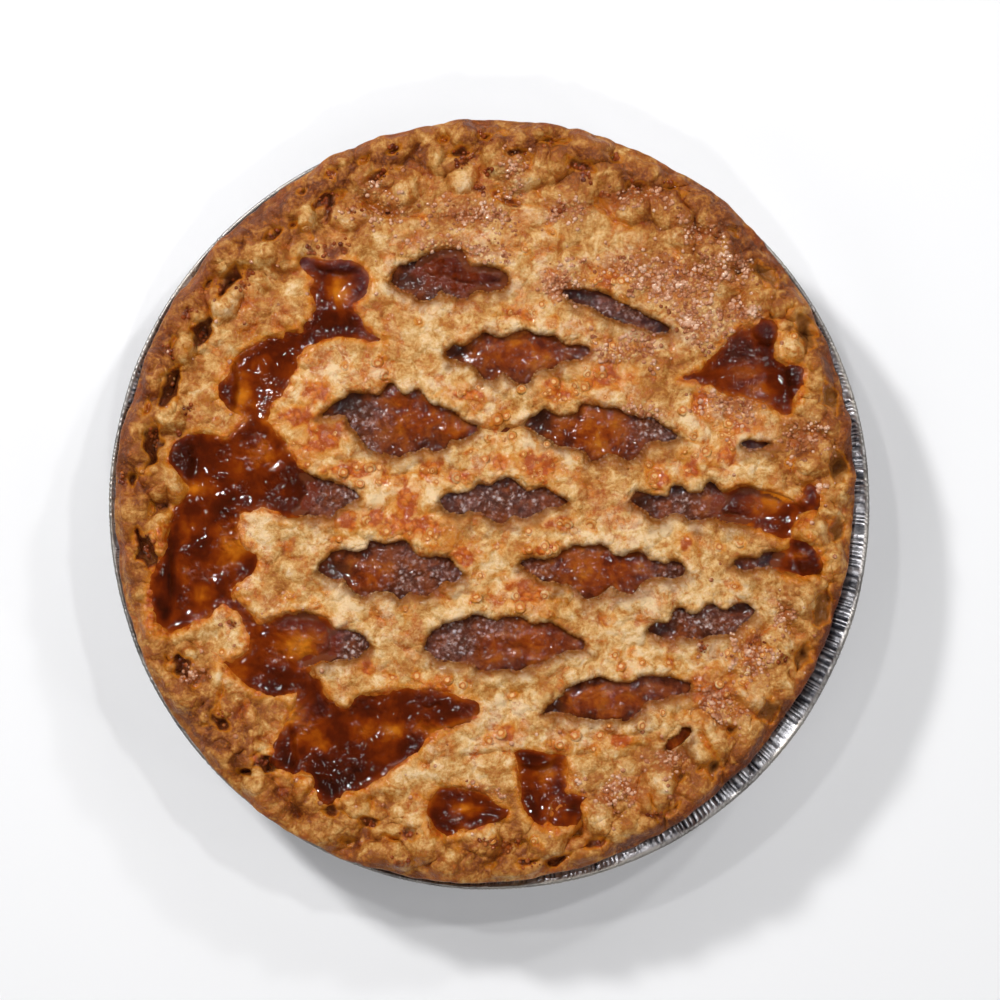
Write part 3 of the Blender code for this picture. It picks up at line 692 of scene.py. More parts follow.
# Sheets of set syrup, in mm: those of one piece overlap
syrupSheets = {
    "syrup_left": (
        ((-50.5, 65), (-49, 62), (-46.5, 59.5), (-47.5, 56.5), (-46.5, 53.5), (-47, 49), (-49.5, 46),
         (-48, 41), (-44, 43), (-40.5, 44), (-36, 43.5), (-27.5, 42.5), (-32, 45), (-34.5, 49), (-36, 52.5),
         (-33, 54), (-31.5, 57.5), (-33, 61), (-36.5, 64), (-43.5, 64)),
        ((-48, 45), (-55, 44.5), (-59.5, 43), (-66.5, 39), (-70, 33.5), (-71.5, 30), (-70, 25.5),
         (-67, 23.5), (-64.5, 22), (-66, 18.5), (-61, 15), (-59.5, 21.5), (-57, 26), (-53.5, 30.5),
         (-50.5, 37), (-47, 41.5)),
        ((-61, 22), (-66, 20), (-69.5, 17), (-75.5, 18.5), (-82, 16), (-84.5, 12.5), (-83.5, 8.5),
         (-78.5, 4), (-72, -2), (-65.5, -3), (-59, -2), (-56.5, -4), (-51, -4), (-48, 0), (-46.5, 3.5),
         (-50.5, 10), (-53.5, 15)),
        ((-75.5, 5.5), (-78.5, 2.5), (-82.5, -2), (-86.5, -8.5), (-86.5, -15), (-89.5, -21), (-90, -27.5),
         (-88.5, -33.5), (-83.5, -35), (-74.5, -31), (-70.5, -27), (-66, -29), (-67.5, -24), (-61, -16),
         (-65.5, -11), (-66.5, -5), (-64.5, 2.5), (-70, 6.5)),
        ((-67, -26), (-63.5, -36.5), (-65.5, -40.5), (-70.5, -42.5), (-67.5, -46), (-59, -50.5), (-50, -50),
         (-48.5, -42.5), (-44.5, -42), (-41, -40), (-40.5, -36), (-42, -31.5), (-45, -30.5), (-52.5, -29.5),
         (-60, -31)),
        ((-50, -43), (-51, -52.5), (-55, -61.5), (-57.5, -67.5), (-53.5, -71), (-47.5, -73.5), (-43, -79.5),
         (-36.5, -76.5), (-27.5, -72.5), (-21.5, -67.5), (-13, -60.5), (-4, -57.5), (-3, -53), (-7, -52),
         (-13, -50), (-23.5, -49.5), (-34, -51), (-38, -54.5), (-43, -51), (-45, -46)),
    ),
    "syrup_back": (
        ((-19, 62), (-14, 66), (-7.5, 66.5), (-5.5, 63), (2.5, 61.5), (4.5, 59), (3, 57), (-6, 56.5),
         (-12, 58.5), (-16.5, 59)),
    ),
    "syrup_right_back": (
        ((50.5, 32.5), (56.5, 35.5), (61, 40.5), (66.5, 46), (71, 48), (76, 47), (76.5, 38), (83, 35),
         (82.5, 28.5), (79, 23.5), (74, 25.5), (69.5, 27), (62, 28.5), (56.5, 31)),
    ),
    "syrup_right": (
        ((64.5, 3.5), (73.5, 2.5), (81.5, 0.5), (84.5, 4.5), (87.5, 0), (83.5, -5), (79, -9.5), (72.5, -8),
         (66, -5), (61, -4.5), (60, -1.5)),
    ),
    "syrup_right_front": (
        ((77, -13), (80.5, -9.5), (84, -9.5), (87, -14), (87.5, -18), (82, -20), (77.5, -19.5),
         (75.5, -16.5)),
    ),
    "syrup_front_left": (
        ((-15, -77.5), (-11.5, -75.5), (-5, -75.5), (3.5, -80.5), (4, -82.5), (-2.5, -85.5), (-13, -87.5),
         (-16, -83.5)),
    ),
    "syrup_front": (
        ((7, -67), (11, -65.5), (15.5, -67), (20, -68), (20.5, -75.5), (24.5, -79), (22, -86), (17.5, -86.5),
         (10, -82.5), (8.5, -78)),
    ),
}
sheetCurves = {name: [closedCurve(corners, 0.35 * mm, 0.3 * mm, 40.0 + 7.0 * number + index)
                      for index, corners in enumerate(sheets)]
               for number, (name, sheets) in enumerate(syrupSheets.items())}
syrupCurves = {name: [resample(loop, 0.35 * mm) for loop in joinedOutlines(curves)]
               for name, curves in sheetCurves.items()}
allSyrup = [loop for loops in syrupCurves.values() for loop in loops]


def syrupDepth(points, outlines):
    # distance in from the nearest outline, less than 0 outside all of them
    inside = np.zeros(len(points), bool)
    for outline in outlines:
        inside |= isInside(points, outline)
    return distanceTo(points, outlines) * np.where(inside, 1.0, -1.0)


# Where the edge of the syrup stands up in a rounded bead over the dough: x, y, half sizes in mm
beadSpots = (
    (-71, 31, 4, 9), (-83.5, 11, 5, 8), (-88.5, -20, 5, 15), (-56, -66, 5, 8), (-46, -77, 6, 5),
    (-9, -56, 9, 5), (83, 34, 4, 8), (74, 46, 4, 4), (85, 2, 4, 5), (85, -14, 4, 6), (-40, 63.5, 6, 2.5),
    (21, -84, 5, 4), (-2, -84, 8, 3), (12, -67, 5, 3),
)


def beadShare(points):
    share = np.zeros(len(points))
    for x, y, sizeX, sizeY in beadSpots:
        share = np.maximum(share, smoothStep(1.25, 0.75, outInOval(points, x, y, sizeX, sizeY)))
    return share


syrupBed = {"bank": 3.4 * mm, "bead": 2.6 * mm}


def sinkUnderSyrup(points):
    # how far the dough sinks under the syrup: from a bank round it, or only inside it where it stands up
    depth = syrupDepth(points, allSyrup)
    bank = smoothStep(-1.2 * mm, 2.6 * mm, depth) * syrupBed["bank"]
    beaded = smoothStep(0.2 * mm, 2.6 * mm, depth) * syrupBed["bead"]
    share = beadShare(points)
    return bank * (1.0 - share) + beaded * share


print("outlines ready:", len(openingCurves), "openings,", len(allSyrup), "syrup pools")

# Lattice sheet

rimColumns = 1400
borderAngles = np.linspace(0.0, 2.0 * math.pi, rimColumns, endpoint=False)
borderRadius = crustEdge(borderAngles) - crustShape["borderIn"]
border = polar(borderRadius, borderAngles, 0.0)[:, :2]
latticeGrid = {"coarse": 0.6 * mm, "fine": 0.36 * mm, "band": 2.3 * mm}


def outsideOpenings(points):
    clear = np.ones(len(points), bool)
    for curve in openingCurves:
        clear &= ~isInside(points, curve)
    return clear


def withinBorder(points, gap):
    angle = np.arctan2(points[:, 1], points[:, 0])
    return np.hypot(points[:, 0], points[:, 1]) < crustEdge(angle) - crustShape["borderIn"] - gap


# A coarse grid of points, with a finer one near the openings
loosePoints = []
for spacing, low, high in ((latticeGrid["coarse"], latticeGrid["band"], 1.0),
                           (latticeGrid["fine"], 0.24 * mm, latticeGrid["band"])):
    grid = hexGrid(90.0 * mm, spacing)
    grid = grid[withinBorder(grid, 0.25 * mm)]
    distance = distanceTo(grid, openingCurves)
    grid = grid[(distance > low) & (distance < high)]
    loosePoints.append(grid[outsideOpenings(grid)])
sheetFlat, sheetFaces = fillBetween(border, openingCurves, np.vstack(loosePoints))
sheetDistance, sheetBehind = nearestEdge(sheetFlat, openingCurves)
sheetTop = doughHeight(sheetFlat) + edgeRounding(sheetDistance, sheetBehind)
print("lattice sheet laid out:", len(sheetFaces), "faces")

# Crimped rim

rimShape = {"topRows": 50, "lipIn": 0.9 * mm}


def around(angle, size, seed):
    return smoothNoise(polar(pleatRadius, angle, 0.0), size, seed)


angles = borderAngles
edge = crustEdge(angles) + 0.5 * mm * around(angles, 7.0 * mm, 23.0)
edge += 0.25 * mm * around(angles, 2.5 * mm, 24.0)
lipUnder = flangeTop(edge) + 1.2 * mm + 0.25 * mm * around(angles, 9.0 * mm, 25.0)
borderLevel = doughLevel(polar(borderRadius, angles, 0.0))
borderLow = polar(borderRadius, angles, borderLevel - crustShape["thickness"])
lipShare = np.linspace(0.0, 1.0, rimShape["topRows"])
topRows = []
for share in lipShare:
    radius = (edge - rimShape["lipIn"]) * (1.0 - share) + borderRadius * share
    row = polar(radius, angles, 0.0)
    row[:, 2] = doughHeight(row)
    topRows.append(row)
lipTop = topRows[0][:, 2]
# Rows under and outside the lip: how far in from the edge, and how high
hidden = [borderLow]
for inset, above in ((12.0, 1.6), (8.0, 0.9), (4.0, 0.9)):
    radius = edge - inset * mm
    hidden.append(polar(radius, angles, flangeTop(radius) + above * mm))
for inset, level in ((1.3, lipUnder - 0.1 * mm), (0.5, lipUnder + 0.1 * mm), (0.1, lipUnder + 0.5 * mm),
                     (0.05, lipTop - 0.9 * mm), (0.3, lipTop - 0.4 * mm)):
    hidden.append(polar(edge - inset * mm, angles, level))
rim = np.stack(hidden + topRows)
rowCount = len(rim)
rimPoints = rim.reshape(-1, 3)
topShare = np.repeat(np.arange(rowCount) >= len(hidden), rimColumns)
print("rim laid out:", rowCount, "rows")

# Height map of the dough, for the syrup and for the stains and painted shade in hollows

mapCell = 0.6 * mm
mapHalf = 104.0 * mm
mapSide = int(2 * mapHalf / mapCell) + 1


def blurred(grid, radius):
    reach = int(3.0 * radius / mapCell)
    kernel = np.exp(-0.5 * (np.arange(-reach, reach + 1) * mapCell / radius) ** 2)
    kernel /= kernel.sum()
    padded = np.pad(grid, reach, mode="edge")
    for axis in (0, 1):
        padded = np.apply_along_axis(np.convolve, axis, padded, kernel, "valid")
    return padded


def sampleGrid(grid, points):
    spot = np.clip((points[:, :2] + mapHalf) / mapCell, 0.0, mapSide - 1.001)
    cell = spot.astype(int)
    t = spot - cell
    x, y = cell[:, 0], cell[:, 1]
    low = grid[x, y] * (1.0 - t[:, 0]) + grid[x + 1, y] * t[:, 0]
    high = grid[x, y + 1] * (1.0 - t[:, 0]) + grid[x + 1, y + 1] * t[:, 0]
    return low * (1.0 - t[:, 1]) + high * t[:, 1]


topRim = rimPoints[topShare]
mapPoints = np.vstack([np.column_stack([sheetFlat, sheetTop]), topRim])
cells = ((mapPoints[:, :2] + mapHalf) / mapCell).round().astype(int)
flatCells = cells[:, 0] * mapSide + cells[:, 1]
sums = np.bincount(flatCells, mapPoints[:, 2], mapSide**2)
counts = np.bincount(flatCells, minlength=mapSide**2)
line = np.arange(mapSide) * mapCell - mapHalf
centres = np.stack(np.meshgrid(line, line, indexing="ij"), -1).reshape(-1, 2)
# Where no point of the dough falls, and over the openings, the map has the plain level
nominal = np.where(np.hypot(*centres.T) < 84.0 * mm, doughLevel(centres), 31.0 * mm)
doughMap = np.where(counts > 0, sums / np.maximum(counts, 1), nominal).reshape(mapSide, mapSide)
doughMap = np.where(outsideOpenings(centres), doughMap.ravel(), nominal).reshape(mapSide, mapSide)
softMap = blurred(doughMap, 2.6 * mm)
wideMap = blurred(doughMap, 5.0 * mm)
print("height map ready")


def spotField(points, spots, power=2.0):
    # 1 in the middle of each spot, with a ragged edge
    field = np.zeros(len(points))
    flat = flat3(points)
    wobble = 0.55 * smoothNoise(flat, 3.0 * mm, 31.0) + 0.3 * smoothNoise(flat, 1.4 * mm, 32.0)
    for x, y, sizeX, sizeY in spots:
        far = outInOval(points, x, y, sizeX, sizeY) + 0.6 * wobble
        field = np.maximum(field, np.exp(-np.maximum(far, 0.0) ** power))
    return field


# Shape of the filling, needed by the syrup too

fillingShape = {"below": 1.9 * mm, "radius": 82.4 * mm, "floor": 26.0 * mm, "coarse": 3.0 * mm,
                "fine": 0.42 * mm}
applePieces = (
    (8, 39.5, 12, 5.5), (-19.5, 22.5, 8.5, 7), (-9, 19, 5.5, 3), (28.5, 18.5, 11, 7), (29, -18.5, 13, 7),
    (13, -37, 8.5, 6), (1, -38, 4, 5.5), (-30, -20, 7, 4), (29, -52.5, 13, 4), (60, -1, 5, 3),
    (50, -63, 6, 5),
)
foamPatches = (
    (-33, 19.5, 5, 7), (-40.5, 1.5, 7, 4.5), (4, 0, 17.5, 5.5), (52.5, -1, 10, 4), (-19, -18.5, 11.5, 7),
    (-36, -38, 5.5, 5.5), (46, -18.5, 5.5, 3), (-10, -37, 6.5, 5.5), (43.5, 20, 6, 4.5), (-9, 60, 10.5, 6),
    (59, -31.5, 12, 4.5), (13, -18.5, 4.5, 4), (37, 52.5, 10.5, 3.5), (0, -33.5, 7, 3),
)
# Places in the openings where the filling sinks and is painted dark as shade: x, y, half sizes in mm
shadedHollows = (
    (-36.5, 26.5, 6, 3), (13.5, 21, 3.5, 3.5), (-22, 58.5, 5.5, 3), (40.5, -0.5, 3.5, 2.5),
    (-8.5, 39.5, 3.5, 2), (-40, -18.5, 4.5, 3), (24, 54, 6, 2.5), (17.5, -54.5, 3.5, 2.5), (46, -34, 4, 2),
    (66, -28, 4, 2),
)


def fillingParts(points):
    return (spotField(points, applePieces, 3.0), spotField(points, foamPatches, 3.0),
            spotField(points, shadedHollows, 2.0))


def fillingHeight(points):
    spots = np.column_stack([points[:, :2], doughLevel(points)])
    amber, foam, sunk = fillingParts(points)
    top = 0.7 * smoothNoise(spots, 7.0 * mm, 51.0) + 0.9 * amber - 1.1 * sunk
    froth = 0.9 * (lumps(spots, 2.4 * mm, 52.0) - 0.4) + 0.45 * (lumps(spots, 1.2 * mm, 55.0) - 0.4)
    top += foam * (1.0 - 0.7 * amber) * (froth + 0.4 * smoothNoise(spots, 1.0 * mm, 53.0))
    smooth = 0.2 * smoothNoise(spots, 2.6 * mm, 54.0) + 0.25 * (lumps(spots, 3.4 * mm, 56.0) - 0.5)
    top += (1.0 - foam) * smooth
    return np.minimum(spots[:, 2] - fillingShape["below"] + mm * top, spots[:, 2] - 0.9 * mm)


# What colours the dough: values stored on its points

# In these tables each spot has x, y and half sizes along x and y, in mm; clusters also have a number
stains = (
    (-46, 29, 4, 3.5), (-50.5, 22.5, 5.5, 2.5), (-42, 18.5, 6, 3.5), (-45, 14.5, 5.5, 2.5), (-36.5, 8, 8, 2),
    (-22, 0, 3.5, 6.5), (-18.5, -7, 8, 3.5), (-25, -6.5, 4, 3.5), (10.5, -24, 6.5, 4.5), (13.5, 9, 6, 4),
    (-15, 8, 3.5, 3), (-8.5, 6, 3.5, 2), (3, 10, 2.5, 2.5), (18.5, -6, 4.5, 2), (18.5, -64.5, 4, 2),
    (-6.5, -14.5, 4.5, 3), (-13, -23.5, 3, 2.5), (-38, -5, 4, 3), (-30, -4, 3.5, 3), (14.5, -13, 3, 2),
    (51.5, -11, 2, 2.5), (55.5, 26.5, 2.5, 3.5), (45, 5.5, 2.5, 2.5), (52.5, 8, 2.5, 2.5),
    (17, 30.5, 3.5, 2), (-31.5, -44, 2, 2), (-15.5, -50, 5.5, 2), (34.5, -63, 3.5, 2), (4, -61.5, 3.5, 2.5),
    (63, 12, 2.5, 2.5),
)
sugarPatches = (
    (52.5, 59, 10.5, 6.5), (62, 62, 8, 4.5), (55.5, 71.5, 7, 3.5), (39.5, 81.5, 6.5, 3), (6.5, 88, 3.5, 6),
    (-31.5, 83, 4, 3), (-27.5, 77.5, 7, 2.5), (-5, 76.5, 10.5, 3.5), (21, 77.5, 8, 3), (20, 58, 8, 4),
    (39.5, 60.5, 10.5, 5.5), (66, 49.5, 6.5, 3), (84, 18, 5.5, 4), (84.5, 2, 3.5, 2.5),
    (68.5, -40.5, 4.5, 7), (77.5, -29, 3, 4), (46, -68, 5.5, 3.5), (60.5, -53.5, 6.5, 5.5),
    (34.5, -76, 5.5, 3), (30.5, -78.5, 4, 2), (41, 22.5, 5.5, 2.5), (-42, 79, 2.5, 2), (55.5, 47.5, 8, 5.5),
    (-2.5, 66, 5.5, 2.5), (-13, 68.5, 8, 2), (66, 26.5, 8, 5.5), (34.5, 39.5, 10.5, 3.5),
    (-50, -31.5, 2, 1.5), (-77.5, -46, 3, 2.5), (-2.5, -76, 4, 2),
)
blisterShape = {"radius": 1.35 * mm, "height": 0.36 * mm, "smallest": 0.55, "largest": 1.15, "seed": 5,
                "sink": 0.05 * mm, "wobble": 0.5 * mm}
blisterSpots = (
    (4.5, 22.5), (2, 21.5), (6, 17), (0, 16.5), (-15, 8), (-8.5, 6), (3.5, 10), (-38.5, 7.5), (-35, 9),
    (-31.5, 8.5), (-29, 9), (-34, 4.5), (-29, 5), (-15.5, -8.5), (-14, -9.5), (-27, -8), (-32, -5.5),
    (-39.5, -10), (18.5, -6), (14.5, -12), (10.5, -13), (17, -12.5), (7, -25), (14.5, -25), (-22, -28.5),
    (-29.5, -29), (-3.5, -25.5), (8.5, 29.5), (17, 31.5), (22.5, 30.5), (25, 30), (20, 27), (43.5, 6.5),
    (43.5, 4), (52, 8), (54, 17), (57, 13), (20.5, -6.5), (26.5, -6.5), (64.5, -22.5), (62.5, -40),
    (47, -42.5), (40, -42.5), (6, -51), (40, -59), (34.5, -43.5), (0, -63), (18.5, -64), (-19, -46),
    (-25.5, -46.5), (-11, -47), (-7, -48.5), (3, -61), (-27.5, 33), (-29.5, 36.5), (-38, 35.5),
    (-18.5, 47.5), (8, -28), (51, 24), (33, -40.5), (29, -61.5), (22.5, -61.5), (60.5, -12), (66, -11),
)
blisterClusters = (
    (13.5, 9, 4.5, 3.5, 14), (-14, 8, 3, 2.5, 7), (43.5, 5.5, 3, 3, 7), (18.5, 28.5, 3.5, 2, 6),
    (63, 16, 3, 2.5, 5), (68.5, -40.5, 3.5, 5.5, 14), (66, 20, 5, 3, 8), (55.5, 12, 3.5, 2.5, 7),
    (8, 50, 5.5, 2, 7), (31.5, 59, 5.5, 3.5, 9), (-6.5, 28, 6.5, 2.5, 8), (30, 33, 8, 4, 10),
    (58, -50, 8, 7, 12), (0, 0, 75, 75, 120),
)


def blisterPlaces():
    # x, y in metres and size of every blister, clear of openings, syrup and rim
    draws = np.random.default_rng(blisterShape["seed"])
    spots = [(x * mm, y * mm, 1.05) for x, y in blisterSpots]
    for x, y, sizeX, sizeY, number in blisterClusters:
        for step in draws.normal(size=(number, 2)) * 0.6:
            size = 0.5 + 0.45 * draws.random() ** 2
            spots.append(((x + step[0] * sizeX) * mm, (y + step[1] * sizeY) * mm, size))
    spots = np.array(spots)
    clear = outsideOpenings(spots) & (distanceTo(spots, openingCurves) > 1.5 * mm)
    clear &= (syrupDepth(spots, allSyrup) < 0.0) & (np.hypot(spots[:, 0], spots[:, 1]) < 92.0 * mm)
    return spots[clear]


blisterSet = blisterPlaces()
palePatches = (
    (-53, 29, 6, 5), (-46, 36, 6, 4), (-38, 40, 8, 3), (-62, -1, 4, 5), (-58, -8, 5, 4), (-52, -22, 6, 6),
    (-30, 36, 8, 4), (-14, 30, 8, 4), (0, 27, 8, 4), (32, -2, 5, 4), (-22, -33, 7, 3), (-30, -46, 7, 3),
    (5, -52, 8, 4), (36, -26, 8, 4), (50, -23, 8, 4), (-45, -12, 6, 3), (-52, -36, 5, 3), (-66, -37, 5, 4),
    (-61, 27, 4, 5), (-58, -58, 5, 5), (62, 5, 5, 4), (34, 33, 6, 3), (-2, 49, 9, 3),
)
caramelSpots = (
    (-85, 40, 1.5, 1.5), (-76.5, 55.5, 1.5, 1.5), (-89.5, 18, 1.5, 1), (-91, -11.5, 2, 2),
    (-64, 60.5, 1.5, 1.5), (-80, 50, 1.5, 1.5), (-65.5, 57, 1.5, 1.5), (-43, 78.5, 1.5, 1.5),
    (-7, 90.5, 2, 1.5), (0, 88, 1.5, 1.5), (25, 87, 1.5, 2), (30.5, 82, 1.5, 1), (-36.5, 77.5, 1.5, 1.5),
    (-80, 25, 1.5, 1.5), (-97, 5.5, 1, 1), (-77.5, -27.5, 1.5, 1.5), (-68, -32.5, 1.5, 1.5),
    (-42, 66, 3.5, 2.5), (-47.5, 66.5, 2.5, 2), (-38.5, 67, 1.5, 1.5), (0, -89, 3, 1.5), (71, -36.5, 2, 2.5),
    (55.5, -38, 1.5, 2), (18.5, 77.5, 2.5, 1.5), (43.5, -82.5, 2, 1.5), (-23.5, -94.5, 2.5, 1.5),
    (5.5, -90.5, 2.5, 1.5), (-2.5, 84, 1.5, 1.5), (76.5, -40.5, 1.5, 1.5), (-78.5, -29, 1.5, 1),
    (-82.5, 18.5, 1, 1),
)


def crustValues(points):
    # 0 well inside the lattice, 1 at the outer edge
    radiusShare = np.clip((np.hypot(*points[:, :2].T) - 66.0 * mm) / (34.0 * mm), 0.0, 1.0)
    # how far the dough lies below its smoothed height: stains and painted shade follow it
    hollow = np.clip((sampleGrid(softMap, points) - points[:, 2]) / (1.6 * mm), -1.0, 2.0)
    inward = crustEdge(np.arctan2(points[:, 1], points[:, 0])) - np.hypot(points[:, 0], points[:, 1])
    hollow *= smoothStep(0.8 * mm, 4.5 * mm, inward)
    taken = carved(flat3(points)) * (radiusShare > 0.4)
    pit = smoothStep(1.1 * mm, 2.6 * mm, taken)
    onRight = smoothStep(25.0 * mm, 50.0 * mm, points[:, 0])
    nearSyrup = smoothStep(-3.0 * mm, 0.3 * mm, syrupDepth(points, allSyrup))
    ragged = 1.0 + 0.7 * smoothNoise(points, 3.0 * mm, 34.0)
    distance, behind = nearestEdge(points, openingCurves)
    soaked = 1.5 * mm + 2.6 * mm * smoothStep(-0.1, 0.7, behind)
    film = smoothStep(1.0, 0.05, distance * ragged / soaked) * (0.7 + 0.3 * smoothStep(-0.2, 0.5, behind))
    brown = 0.32 + 0.42 * radiusShare + 0.2 * smoothNoise(points, 16.0 * mm, 33.0)
    brown += 0.1 * smoothStep(0.6, 0.8, radiusShare) - 0.22 * smoothStep(0.88, 0.98, radiusShare)
    brown += (0.06 + 0.12 * smoothStep(0.0, 60.0 * mm, points[:, 0])) * smoothStep(0.78, 0.9, radiusShare)
    brown -= 0.12 * spotField(points, palePatches, 1.6)
    halo = smoothStep(2.4 * mm, 0.9 * mm, nearestSpots(points, blisterSet)[0] * ragged)
    clusters = spotField(points, [cluster[:4] for cluster in blisterClusters[:-1]], 2.0)
    inFolds = smoothStep(0.3 * mm, 1.5 * mm, taken)
    stain = np.maximum(spotField(points, stains, 1.6), 0.75 * clusters)
    return {
        "hollow": hollow,
        "browning": brown,
        "stain": np.maximum.reduce([stain, 0.5 * nearSyrup, 0.45 * halo, 0.45 * inFolds]),
        "film": film,
        "sugar": spotField(points, sugarPatches),
        "caramel": spotField(points, caramelSpots, 1.6),
        # pockets of the rim: caramel and painted shade on the left, painted shade alone on the right
        "pit": pit * (1.0 - onRight),
        "shade": pit * onRight,
        "ring": np.zeros(len(points)),
    }


# Materials


def shaderGroup(name, inputs, outputs):
    tree = bpy.data.node_groups.new(name, "ShaderNodeTree")
    for label in inputs:
        kind = "NodeSocketVector" if label == "Vector" else "NodeSocketFloat"
        tree.interface.new_socket(label, in_out="INPUT", socket_type=kind)
    for label in outputs:
        tree.interface.new_socket(label, in_out="OUTPUT", socket_type="NodeSocketFloat")
    return tree, addNode(tree, "NodeGroupInput").outputs


def unevennessGroup():
    # three sizes of cloudy noise around 0, shared by dough, syrup, filling and foil
    sizes = ("Broad", "Middle", "Fine")
    tree, source = shaderGroup("unevenness", ("Vector", *sizes), sizes)
    results = {}
    for label, detail, warp in zip(sizes, (5.0, 6.0, 4.0), (0.5, 0.6, 0.2)):
        results[label] = noiseAroundZero(tree, source["Vector"], source[label], detail, 0.62, warp)
    addNode(tree, "NodeGroupOutput", results)
    return tree


def bubbleGroup():
    # a skin of small bubbles: 1 in the middle of each, and its darker border
    tree, source = shaderGroup("bubbleSkin", ("Vector", "Scale", "Warp"), ("Middle", "Border"))
    noise = addNode(tree, "ShaderNodeTexNoise", {"Vector": source["Vector"], "Scale": 500.0, "Detail": 2.0})
    shift = drift(tree, noise.outputs["Color"], source["Warp"])
    bent = vectorCalc(tree, "ADD", source["Vector"], shift)
    cells = addNode(tree, "ShaderNodeTexVoronoi", {"Vector": bent, "Scale": source["Scale"]})
    away = cells.outputs["Distance"]
    addNode(tree, "NodeGroupOutput", {"Middle": span(tree, away, 0.55, 0.05, smooth=True),
                                      "Border": span(tree, away, 0.3, 0.6, smooth=True)})
    return tree


unevenness, bubbleSkin = unevennessGroup(), bubbleGroup()


def unevenAt(tree, place, broad, middle, fine):
    inputs = {"Vector": place, "Broad": broad, "Middle": middle, "Fine": fine}
    found = addNode(tree, "ShaderNodeGroup", inputs, node_tree=unevenness).outputs
    return found["Broad"], found["Middle"], found["Fine"]


def bubblesAt(tree, place, scale, warp):
    inputs = {"Vector": place, "Scale": scale, "Warp": warp}
    return addNode(tree, "ShaderNodeGroup", inputs, node_tree=bubbleSkin).outputs


crustColours = {
    "bake": ((0.0, (0.78, 0.545, 0.30)), (0.2, (0.66, 0.39, 0.145)), (0.42, (0.50, 0.228, 0.052)),
             (0.62, (0.35, 0.117, 0.015)), (0.82, (0.20, 0.048, 0.006)), (1.0, (0.10, 0.020, 0.003))),
    "fleck": (0.38, 0.092, 0.012), "spread": (0.66, 0.235, 0.016), "pale": (0.74, 0.38, 0.09),
    "stain": (0.60, 0.125, 0.004), "stainBorder": (0.36, 0.048, 0.002), "film": (0.20, 0.058, 0.010),
    "blisterRing": (0.50, 0.13, 0.012), "blisterTop": (0.74, 0.41, 0.15),
    "sugarPit": (0.30, 0.070, 0.012), "frost": (0.62, 0.34, 0.18),
    "caramel": (0.30, 0.058, 0.008), "caramelBorder": (0.13, 0.021, 0.004),
    # painted shade for the pockets and the deepest hollows
    "shade": (0.22, 0.088, 0.022), "deep": (0.075, 0.018, 0.005),
}


